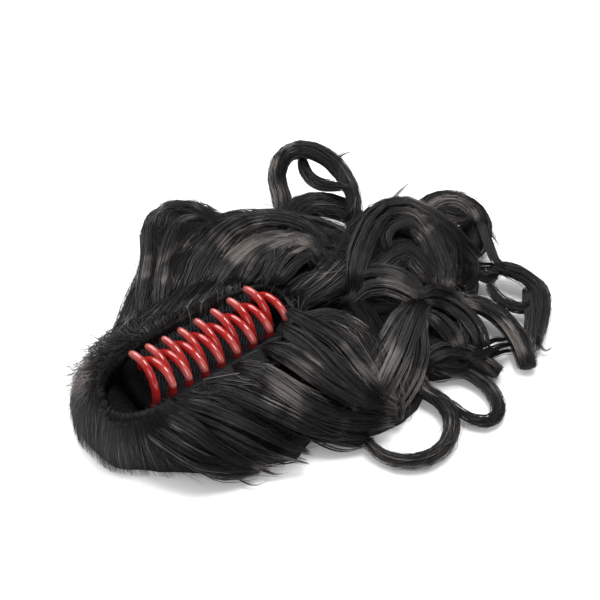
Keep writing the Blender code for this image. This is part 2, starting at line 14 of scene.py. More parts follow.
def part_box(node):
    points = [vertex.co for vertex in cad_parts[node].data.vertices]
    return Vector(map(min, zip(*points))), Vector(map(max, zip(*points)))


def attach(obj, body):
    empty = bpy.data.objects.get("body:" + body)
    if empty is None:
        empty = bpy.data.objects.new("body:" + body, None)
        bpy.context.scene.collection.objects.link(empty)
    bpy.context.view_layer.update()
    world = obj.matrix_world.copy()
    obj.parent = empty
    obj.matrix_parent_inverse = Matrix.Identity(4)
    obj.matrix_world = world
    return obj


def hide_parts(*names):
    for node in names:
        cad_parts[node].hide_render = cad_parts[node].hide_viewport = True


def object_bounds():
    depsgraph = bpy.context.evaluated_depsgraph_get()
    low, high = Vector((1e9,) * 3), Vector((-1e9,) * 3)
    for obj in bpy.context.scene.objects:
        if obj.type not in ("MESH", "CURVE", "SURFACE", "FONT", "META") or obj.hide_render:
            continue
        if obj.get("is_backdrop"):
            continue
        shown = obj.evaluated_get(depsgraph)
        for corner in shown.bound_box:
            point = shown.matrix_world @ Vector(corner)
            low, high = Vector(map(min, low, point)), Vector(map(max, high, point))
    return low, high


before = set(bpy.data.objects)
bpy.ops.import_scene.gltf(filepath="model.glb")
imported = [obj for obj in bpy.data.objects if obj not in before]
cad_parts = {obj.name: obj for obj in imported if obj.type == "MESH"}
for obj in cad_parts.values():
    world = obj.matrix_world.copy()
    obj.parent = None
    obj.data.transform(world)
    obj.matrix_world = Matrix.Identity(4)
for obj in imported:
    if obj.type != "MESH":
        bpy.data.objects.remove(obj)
cad_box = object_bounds()
dice = np.random.default_rng(20)

# Sizes of the hair's layout, in metres, as the solids have them
PILE_LENGTH = 0.300
PILE_WIDTH = 0.250
PILE_HEIGHT = 0.050
LOCK_WIDTH = 0.028
LOCK_DEPTH = 0.016
ROOT_SHARE = 0.55
ROOT_LENGTH = 0.2
TAPER_START = 0.6
RIM_LENGTH = 0.140
RIM_WIDTH = 0.046
RIM_BACK = 0.0070
RIM_SKEW = 0.30
RIM_SQUARENESS = 3.0
BAND_DEPTH = 0.0245
PIN_HEIGHT = 0.0049
PIN_THICK = 0.0026
BASE_PLACE = (-0.0034, 0.0090, 0.0105)
BASE_ROLL = 15
BASE_PITCH = 6
BASE_YAW = 6

# The clip, in metres and in shares
TOOTH_COUNT = 8
TOOTH_PITCH = 0.0124
TOOTH_THICK = 0.0040
TOOTH_SIDES = 14
TOOTH_STATIONS = 20
TOOTH_SWELL = 0.20         # how much thicker a tooth grows from its tip on
TOOTH_SWELL_RATE = 2.2
TOOTH_HEIGHT = 1.25        # how much higher than wide a tooth's section is
TOOTH_PALE_RATE = 2.6      # how fast the pale tip fades into the red
TOOTH_ROUNDING = [(0.0, 0.30), (0.05, 0.62), (0.16, 0.88)]
JAW_STAGGER = 0.0037
CLIP_SPAN = 0.036
CLIP_TOP = 0.0345
CLIP_BOW = 0.24
SPINE_THICK = 0.0030
SPINE_HEIGHT = 0.0054
SPINE_OVERHANG = 0.0004
GRIP_LENGTH = 0.034
GRIP_THICK = 0.0024
SPINE_ROUNDING = 0.0007
GRIP_ROUNDING = 0.0005
KNUCKLE_ROUNDING = 0.0004
KNUCKLE_LENGTH = 0.009
KNUCKLE_REACH = 0.0032     # from the pin's middle to the knuckle's outside
BAND_FLOOR = 0.0017        # the band's wall and the gap over it

# Strands: a strand's thickness, and how it thins towards its root
HAIR_RADIUS = 0.00024
RADIUS_SPREAD = (0.75, 1.25)
ROOT_THIN = 0.45
ROOT_RISE = 0.06
STRAND_FLOOR = 0.0001      # no strand reaches lower than this
UNDERLAY_DEPTH = 0.0011    # the dark under-form lies this far inside the solid's skin
UNDERLAY_FLOOR = 0.0002    # points of it lower than this lie on the floor

# How far the strands of a lock or sweep wander, in radians or as shares of its width
BUNDLE_TURN = 0.15
BUNDLE_TWIST = 0.45
BUNDLE_DEPTH = (0.84, 1.02)
BUNDLE_SPREAD = 2.1
STRAND_WAVE = 0.035
STRAND_WAVE_TURNS = (5, 16)
STRAND_DEPTH = 0.045
STRAY_SHARE = 0.06
STRAY_REACH = 0.35
START_SPREAD = 0.03
END_SPREAD = 0.04
BUNDLE_TONE = 0.75
STRAND_TONE = 0.3
LOCK_POINTS = 64
RING_STEP = 30         # degrees of a ring of hair from point to point
SWEEP_RINGS = 11
SWEEP_BUNDLE_TONE = 0.5
# How much a sweep's painted light and shade adds to its strands' tone
SWEEP_PAINTED_LIGHT = 0.65
SWEEP_DARKER = 0.03
SHADED_LIGHT = 0.06    # sweeps this dark or darker carry the painted shade of deep hollows

# The combed hair between neighbouring locks
COMBED_STRANDS = 90
COMBED_POINTS = 40
COMBED_REACH = 30      # of those points, how many the combed hair follows
COMBED_RINGS = 12
COMBED_SWAY = 0.0016
COMBED_LIFT = 0.0014
COMBED_LENGTH = (0.45, 1.0)
COMBED_FLOOR = 0.004   # combed hair past the solid's edge lies no higher than this
COMBED_CLUMPS = 40
COMBED_ORDER = ["left_outer", "left_middle", "left_inner", "end_fan", "right_lump", "wave",
                "fall_fourth", "fall_third", "fall_second", "fall_first"]

# The brushed front, the frizz at its far side and the fibres round its rim: the arcs are shares
# of a full turn for the front and of a half turn for the other two
CROWN_FRINGE = 0.0030
CROWN_STRANDS = 2200
CROWN_STEPS = 9
CROWN_ARC = (0.20, 0.86)
CROWN_ROOTS = [(0.0052, 0.0150), (0.0024, 0.0215)]    # inside the rim and over the floor
CROWN_INWARD = (-0.0004, 0.0018)
CROWN_LENGTH = (0.80, 1.02)
CROWN_DRIFT = 0.09
CROWN_NEAR_DRIFT = 1.1
CROWN_FAR_DRIFT = 0.5
CROWN_BULGE = (0.985, 1.03)
CROWN_STRAY_SHARE = 0.10
CROWN_STRAY_BULGE = 0.05
CROWN_CLUMPS = 37
CROWN_TONE = 0.24
CROWN_CLUMP_TONE = 0.14
CROWN_STRAND_TONE = 0.22
FRIZZ_COUNT = 240
FRIZZ_RINGS = 14
FRIZZ_ARC = (0.60, 0.90)
FRIZZ_INWARD = (-0.012, 0.002)
FRIZZ_LENGTH = (0.010, 0.021)
FRIZZ_CURL = (0.0006, 0.0022)
FRIZZ_REACH = 0.009    # the frizz may stand this far outside the solids
FRIZZ_FLOOR = 0.0008
RIM_FIBRES = 900
RIM_FIBRE_RINGS = 5
RIM_FIBRE_ARC = (0.66, 1.46)
WISP_STRANDS = 9
WISP_RINGS = 12
WISP_SPREAD = 0.0011

# Strands laid on the solid's skin: how many, how many rings each has, and in metres how far
# they stand off and step from ring to ring, how much they veer, and their thickness and tone
Cover = namedtuple("Cover", "name count rings lift step veer thickness dark light")
COVERS = [
    Cover("hair_cover", 5400, 7, 0.0008, 0.0034, 0.16, 0.85, 0.0, 0.75),
    Cover("hair_flyaways", 650, 11, 0.0022, 0.0045, 0.40, 0.50, 0.45, 1.0),
]

COVER_START = -0.045     # the cover strands begin behind the brushed front
COVER_CLEAR = 1.05       # and outside the band's rim, which counts as 1
COVER_SLOPE = -0.3       # faces that look down more steeply than this carry none
COVER_FLOOR = 0.002      # nor do faces as low as this
COVER_NEIGHBOURS = 4     # how many points of the nearest locks a strand follows
COVER_NEAR = 0.001       # added to their distances, so that none counts for everything
COVER_STEEP = 0.6        # no strand lies where the locks run off the skin this steeply
FLOW_LOCK_POINTS = 40
FLOW_SWEEP_POINTS = 24

# Where combed strands pass inside the band: how far in from the rim, how high, and how much more
# of each on the near side
RimStop = namedtuple("RimStop", "inward up near_inward near_up")
RIM_STOPS = [
    RimStop(0.0125, 0.0100, -0.0030, 0.0020),
    RimStop(0.0085, 0.0150, -0.0020, 0.0020),
    RimStop(0.0035, 0.0225, -0.0010, -0.0010),
    RimStop(-0.0010, BAND_DEPTH + 0.0028, 0.0, -0.0012),
]

# The net that covers the spines, from the far wall to the near rim
NetRow = namedtuple("NetRow", "across up")
NET_ROWS = [
    NetRow(0.0200, 0.0215),
    NetRow(0.0165, 0.0192),
    NetRow(0.0134, 0.0172),
    NetRow(0.0104, 0.0140),
    NetRow(0.0080, 0.0105),
    NetRow(0.0000, 0.0086),
    NetRow(-0.0080, 0.0096),
    NetRow(-0.0108, 0.0104),
    NetRow(-0.0128, 0.0124),
    NetRow(-0.0155, 0.0172),
    NetRow(-0.0190, 0.0232),
    NetRow(-0.0215, 0.0262),
    NetRow(-0.0232, 0.0268),
]
NET_FROM = -0.0515
NET_TO = 0.0540
NET_COLUMNS = 60
NET_WALL = 0.0003
NET_FADE = 0.002
NET_END_HEIGHT = 0.35     # the net's ends are pulled down to this share of its height
NET_LIT_FROM = 0.0083     # the net carries painted shadow up to this far behind its front end
NET_LIT_FADE = 0.012
SPINE_ROWS = 0.0130       # rows nearer the middle than this keep to the spines

# The photograph's view, from the middle of the layout
VIEW_TARGET = (0.070, 0.008, 0.020)
VIEW_AZIMUTH = -37
VIEW_ELEVATION = 47
VIEW_DISTANCE = 1.010
LENS = 100
SENSOR = 36

# A tooth's middle line from its tip down, in shares of the clip's span and height
Tooth = namedtuple("Tooth", "across up")
TOOTH = [
    Tooth(0.07, 0.86),
    Tooth(0.20, 0.95),
    Tooth(0.38, 0.98),
    Tooth(0.58, 0.91),
    Tooth(0.72, 0.75),
    Tooth(0.83, 0.54),
    Tooth(0.86, 0.34),
    Tooth(0.80, 0.20),
]

# The crown: how far out the short hair meets the floor at each bearing, a share of PILE_WIDTH
Crown = namedtuple("Crown", "bearing reach")
CROWN = [
    Crown(0, 0.36),
    Crown(45, 0.30),
    Crown(90, 0.18),
    Crown(113, 0.195),
    Crown(135, 0.245),
    Crown(152, 0.27),
    Crown(180, 0.30),
    Crown(200, 0.305),
    Crown(215, 0.28),
    Crown(233, 0.27),
    Crown(258, 0.30),
    Crown(276, 0.345),
    Crown(292, 0.345),
    Crown(325, 0.36),
]

# Locks: width and depth as shares of a full lock, the tip as a share of the lock, and how many
# bundles of strands it has and how many strands are in each
Lock = namedtuple("Lock", "name wide deep tip bundles strands")
LOCKS = [
    Lock("left_outer", 0.90, 1.00, 0.55, 12, 12),
    Lock("left_middle", 1.00, 1.10, 0.50, 12, 12),
    Lock("left_inner", 1.00, 1.10, 0.50, 12, 12),
    Lock("end_fan", 0.90, 1.00, 0.50, 12, 12),
    Lock("top_ring", 0.42, 0.62, 0.60, 11, 16),
    Lock("top_inside", 0.30, 0.40, 0.60, 8, 12),
    Lock("top_filling", 0.70, 0.60, 0.50, 10, 12),
    Lock("right_lump", 1.05, 1.20, 0.60, 14, 14),
    Lock("right_inner", 0.90, 1.10, 0.50, 12, 12),
    Lock("back_ring", 0.60, 0.62, 0.60, 12, 16),
    Lock("side_ring", 0.28, 0.46, 0.60, 9, 13),
    Lock("far_ribbon", 0.32, 0.52, 0.45, 10, 14),
    Lock("end_ribbon", 0.44, 0.54, 0.95, 11, 15),
    Lock("low_ribbon", 0.54, 0.58, 0.60, 11, 15),
    Lock("small_ring", 0.28, 0.46, 0.60, 9, 13),
    Lock("big_ring", 0.32, 0.50, 0.60, 10, 14),
    Lock("wave", 0.85, 1.00, 0.50, 12, 12),
    Lock("fall_first", 0.85, 0.80, 0.40, 11, 12),
    Lock("fall_second", 1.00, 0.90, 0.40, 12, 12),
    Lock("fall_third", 1.00, 1.00, 0.40, 12, 12),
    Lock("fall_fourth", 0.95, 1.00, 0.40, 12, 12),
    Lock("cross", 0.72, 0.90, 0.50, 10, 12),
]

# The bends that each lock passes, as shares of the pile's length, width and height
Bend = namedtuple("Bend", "lock along across up")
BENDS = [
    Bend("left_outer", -0.137, 0.150, 0.56),
    Bend("left_outer", -0.053, 0.212, 0.52),
    Bend("left_outer", 0.042, 0.310, 0.40),
    Bend("left_outer", 0.108, 0.412, 0.32),
    Bend("left_outer", 0.165, 0.470, 0.28),
    Bend("left_outer", 0.208, 0.466, 0.26),
    Bend("left_outer", 0.230, 0.405, 0.28),
    Bend("left_outer", 0.237, 0.324, 0.32),
    Bend("left_middle", -0.047, 0.136, 0.56),
    Bend("left_middle", 0.030, 0.224, 0.54),
    Bend("left_middle", 0.123, 0.312, 0.44),
    Bend("left_middle", 0.208, 0.352, 0.36),
    Bend("left_middle", 0.285, 0.336, 0.30),
    Bend("left_middle", 0.335, 0.286, 0.28),
    Bend("left_middle", 0.360, 0.216, 0.24),
    Bend("left_inner", 0.053, 0.140, 0.58),
    Bend("left_inner", 0.140, 0.208, 0.58),
    Bend("left_inner", 0.230, 0.256, 0.50),
    Bend("left_inner", 0.313, 0.240, 0.40),
    Bend("left_inner", 0.350, 0.168, 0.32),
    Bend("left_inner", 0.360, 0.092, 0.24),
    Bend("end_fan", 0.177, 0.092, 0.58),
    Bend("end_fan", 0.257, 0.140, 0.60),
    Bend("end_fan", 0.333, 0.168, 0.52),
    Bend("end_fan", 0.390, 0.136, 0.44),
    Bend("end_fan", 0.400, 0.052, 0.36),
    Bend("top_ring", 0.300, 0.210, 0.30),
    Bend("top_ring", 0.335, 0.275, 0.34),
    Bend("top_inside", 0.459, 0.384, 0.74),
    Bend("top_inside", 0.451, 0.352, 0.60),
    Bend("top_inside", 0.456, 0.300, 0.56),
    Bend("top_inside", 0.474, 0.222, 0.74),
    Bend("top_filling", 0.300, 0.200, 0.44),
    Bend("top_filling", 0.352, 0.262, 0.46),
    Bend("top_filling", 0.410, 0.272, 0.46),
    Bend("top_filling", 0.458, 0.215, 0.44),
    Bend("top_filling", 0.465, 0.120, 0.44),
    Bend("right_lump", 0.207, -0.008, 0.60),
    Bend("right_lump", 0.303, 0.004, 0.64),
    Bend("right_lump", 0.397, 0.048, 0.66),
    Bend("right_lump", 0.470, 0.076, 0.68),
    Bend("right_lump", 0.520, 0.056, 0.68),
    Bend("right_lump", 0.534, -0.008, 0.64),
    Bend("right_lump", 0.515, -0.084, 0.56),
    Bend("right_lump", 0.463, -0.152, 0.44),
    Bend("right_inner", 0.297, -0.060, 0.48),
    Bend("right_inner", 0.377, -0.040, 0.58),
    Bend("right_inner", 0.433, -0.028, 0.62),
    Bend("right_inner", 0.470, -0.050, 0.60),
    Bend("right_inner", 0.480, -0.110, 0.52),
    Bend("right_inner", 0.493, -0.180, 0.38),
    Bend("back_ring", 0.500, 0.050, 0.52),
    Bend("side_ring", 0.560, -0.100, 0.34),
    Bend("far_ribbon", 0.620, -0.155, 0.30),
    Bend("far_ribbon", 0.650, -0.218, 0.29),
    Bend("far_ribbon", 0.653, -0.284, 0.27),
    Bend("far_ribbon", 0.609, -0.346, 0.22),
    Bend("far_ribbon", 0.560, -0.394, 0.17),
    Bend("end_ribbon", 0.440, -0.164, 0.44),
    Bend("end_ribbon", 0.483, -0.192, 0.40),
    Bend("end_ribbon", 0.527, -0.240, 0.32),
    Bend("end_ribbon", 0.543, -0.300, 0.24),
    Bend("end_ribbon", 0.532, -0.374, 0.18),
    Bend("end_ribbon", 0.508, -0.432, 0.14),
    Bend("low_ribbon", 0.307, -0.168, 0.44),
    Bend("low_ribbon", 0.330, -0.248, 0.36),
    Bend("low_ribbon", 0.367, -0.304, 0.28),
    Bend("low_ribbon", 0.425, -0.344, 0.22),
    Bend("low_ribbon", 0.453, -0.408, 0.16),
    Bend("small_ring", 0.327, -0.216, 0.40),
    Bend("small_ring", 0.352, -0.264, 0.28),
    Bend("big_ring", 0.290, -0.220, 0.40),
    Bend("big_ring", 0.312, -0.290, 0.26),
    Bend("wave", 0.170, -0.050, 0.56),
    Bend("wave", 0.220, -0.100, 0.58),
    Bend("wave", 0.243, -0.168, 0.54),
    Bend("wave", 0.243, -0.244, 0.44),
    Bend("wave", 0.227, -0.320, 0.30),
    Bend("wave", 0.207, -0.368, 0.16),
    Bend("fall_first", -0.163, -0.120, 0.54),
    Bend("fall_first", -0.153, -0.172, 0.44),
    Bend("fall_first", -0.120, -0.228, 0.24),
    Bend("fall_first", -0.057, -0.284, 0.12),
    Bend("fall_second", -0.090, -0.120, 0.56),
    Bend("fall_second", -0.073, -0.176, 0.52),
    Bend("fall_second", -0.037, -0.240, 0.34),
    Bend("fall_second", 0.000, -0.300, 0.16),
    Bend("fall_third", -0.007, -0.120, 0.58),
    Bend("fall_third", 0.023, -0.160, 0.56),
    Bend("fall_third", 0.063, -0.240, 0.44),
    Bend("fall_third", 0.103, -0.312, 0.26),
    Bend("fall_third", 0.140, -0.368, 0.14),
    Bend("fall_fourth", 0.093, -0.110, 0.58),
    Bend("fall_fourth", 0.127, -0.144, 0.58),
    Bend("fall_fourth", 0.163, -0.216, 0.48),
    Bend("fall_fourth", 0.170, -0.296, 0.32),
    Bend("fall_fourth", 0.163, -0.360, 0.16),
    Bend("cross", 0.447, -0.148, 0.50),
    Bend("cross", 0.360, -0.192, 0.52),
    Bend("cross", 0.300, -0.240, 0.44),
    Bend("cross", 0.237, -0.292, 0.32),
    Bend("cross", 0.150, -0.332, 0.18),
]

# The rings that some locks end in, in the same shares, with their start and turn in degrees
Ring = namedtuple("Ring", "lock along across up reach_along reach_across start turn rise rise_at")
RINGS = [
    Ring("top_ring", 0.430, 0.280, 0.56, 0.060, 0.136, 158, 245, 0.28, 30),
    Ring("back_ring", 0.612, 0.004, 0.34, 0.066, 0.074, 130, 235, 0.16, 70),
    Ring("side_ring", 0.620, -0.224, 0.22, 0.043, 0.066, 125, 345, 0.05, 90),
    Ring("small_ring", 0.370, -0.412, 0.13, 0.043, 0.084, 78, 265, 0.03, 90),
    Ring("big_ring", 0.225, -0.388, 0.15, 0.088, 0.108, 28, 222, 0.03, 60),
]

# Single wisps that stand off from the locks, in metres in the layout
Wisp = namedtuple("Wisp", "name along across up")
WISPS = [
    Wisp("top", 0.1475, 0.0748, 0.0400),
    Wisp("top", 0.1545, 0.0780, 0.0400),
    Wisp("top", 0.1605, 0.0785, 0.0400),
    Wisp("top", 0.1685, 0.0755, 0.0400),
    Wisp("back", 0.1530, 0.0270, 0.0370),
    Wisp("back", 0.1640, 0.0315, 0.0370),
    Wisp("back", 0.1728, 0.0341, 0.0370),
    Wisp("back", 0.1812, 0.0372, 0.0360),
    Wisp("side", 0.1980, -0.0080, 0.0220),
    Wisp("side", 0.1990, -0.0176, 0.0220),
    Wisp("side", 0.1984, -0.0256, 0.0210),
    Wisp("side", 0.1963, -0.0327, 0.0200),
    Wisp("end", 0.1740, -0.0900, 0.0090),
    Wisp("end", 0.1722, -0.0950, 0.0070),
    Wisp("end", 0.1709, -0.0991, 0.0050),
    Wisp("end", 0.1723, -0.1031, 0.0040),
    Wisp("end", 0.1784, -0.1027, 0.0050),
    Wisp("low", -0.0400, -0.0520, 0.0180),
    Wisp("low", -0.0350, -0.0640, 0.0090),
    Wisp("low", -0.0298, -0.0741, 0.0040),
    Wisp("low", -0.0248, -0.0786, 0.0030),
    Wisp("low", -0.0165, -0.0787, 0.0030),
    Wisp("low_second", -0.0250, -0.0600, 0.0180),
    Wisp("low_second", -0.0200, -0.0720, 0.0090),
    Wisp("low_second", -0.0120, -0.0800, 0.0040),
    Wisp("low_second", 0.0000, -0.0830, 0.0030),
    Wisp("low_third", 0.0100, -0.0700, 0.0200),
    Wisp("low_third", 0.0181, -0.0820, 0.0100),
    Wisp("low_third", 0.0280, -0.0905, 0.0050),
    Wisp("low_third", 0.0420, -0.0950, 0.0040),
    Wisp("tie", 0.0609, 0.0088, 0.0365),
    Wisp("tie", 0.0720, 0.0085, 0.0395),
    Wisp("tie", 0.0830, 0.0050, 0.0405),
    Wisp("tie", 0.0996, 0.0011, 0.0420),
]

# The long sweeps on top of the pile, which the eye follows: width and depth in metres, the tip as
# a share, the number of bundles and of strands in each, and how light the hair looks there, which
# is painted light and shade: light for lit sweeps, dark for sweeps in hollows and gaps
Sweep = namedtuple("Sweep", "name wide deep tip bundles strands light")
SWEEPS = [
    Sweep("far_first", 0.012, 0.008, 0.8, 11, 14, 0.35),
    Sweep("far_second", 0.011, 0.006, 0.8, 10, 14, 0.45),
    Sweep("far_third", 0.015, 0.008, 0.8, 12, 14, 0.50),
    Sweep("far_fourth", 0.014, 0.007, 0.8, 11, 14, 0.60),
    Sweep("fan_first", 0.013, 0.006, 0.8, 10, 14, 0.75),
    Sweep("fan_second", 0.013, 0.006, 0.8, 10, 14, 0.75),
    Sweep("top_fall", 0.012, 0.006, 0.9, 10, 14, 0.50),
    Sweep("arch", 0.015, 0.008, 0.8, 12, 14, 0.40),
    Sweep("arch_inside", 0.009, 0.006, 0.9, 8, 13, 0.10),
    Sweep("arch_curtain", 0.014, 0.005, 0.8, 10, 14, 0.90),
    Sweep("gleam", 0.010, 0.006, 0.8, 9, 14, 0.60),
    Sweep("hook", 0.010, 0.008, 0.6, 10, 14, 0.25),
    Sweep("long_wave", 0.012, 0.007, 0.8, 11, 14, 0.65),
    Sweep("under_wave", 0.012, 0.007, 0.8, 11, 14, 0.45),
    Sweep("crossing", 0.012, 0.007, 0.8, 11, 14, 0.55),
    Sweep("second_crossing", 0.009, 0.006, 0.8, 9, 14, 0.40),
    Sweep("middle_crossing", 0.015, 0.007, 0.8, 10, 13, 0.38),
    Sweep("deep_fall", 0.014, 0.007, 0.8, 9, 14, 0.00),
    Sweep("near_first", 0.012, 0.007, 0.7, 10, 14, 0.45),
    Sweep("near_second", 0.013, 0.007, 0.7, 11, 14, 0.50),
    Sweep("near_third", 0.014, 0.007, 0.7, 11, 14, 0.55),
    Sweep("near_fourth", 0.014, 0.007, 0.7, 11, 14, 0.60),
    Sweep("near_fifth", 0.014, 0.007, 0.7, 11, 14, 0.60),
    Sweep("end_cover", 0.012, 0.007, 0.8, 10, 14, 0.30),
    Sweep("end_cover_inside", 0.012, 0.006, 0.8, 10, 14, 0.60),
    Sweep("low_end", 0.013, 0.006, 1.0, 10, 14, 0.50),
    Sweep("right_side", 0.011, 0.006, 0.8, 9, 14, 0.25),
    Sweep("back_crossing", 0.009, 0.005, 0.8, 9, 14, 0.40),
    Sweep("side_join", 0.006, 0.005, 0.9, 7, 12, 0.10),
    Sweep("side_fill", 0.005, 0.004, 0.9, 6, 11, 0.05),
    Sweep("back_fill", 0.010, 0.005, 0.9, 8, 13, 0.05),
    Sweep("ribbon_inside", 0.012, 0.004, 0.9, 13, 14, 0.10),
    Sweep("low_join", 0.012, 0.006, 0.9, 13, 14, 0.06),
    Sweep("under_gleam", 0.012, 0.008, 0.8, 9, 14, 0.45),
    Sweep("hollow_first", 0.013, 0.005, 0.9, 8, 13, 0.00),
    Sweep("hollow_second", 0.013, 0.005, 0.9, 8, 13, 0.00),
    Sweep("near_nose", 0.012, 0.007, 0.7, 10, 14, 0.40),
]

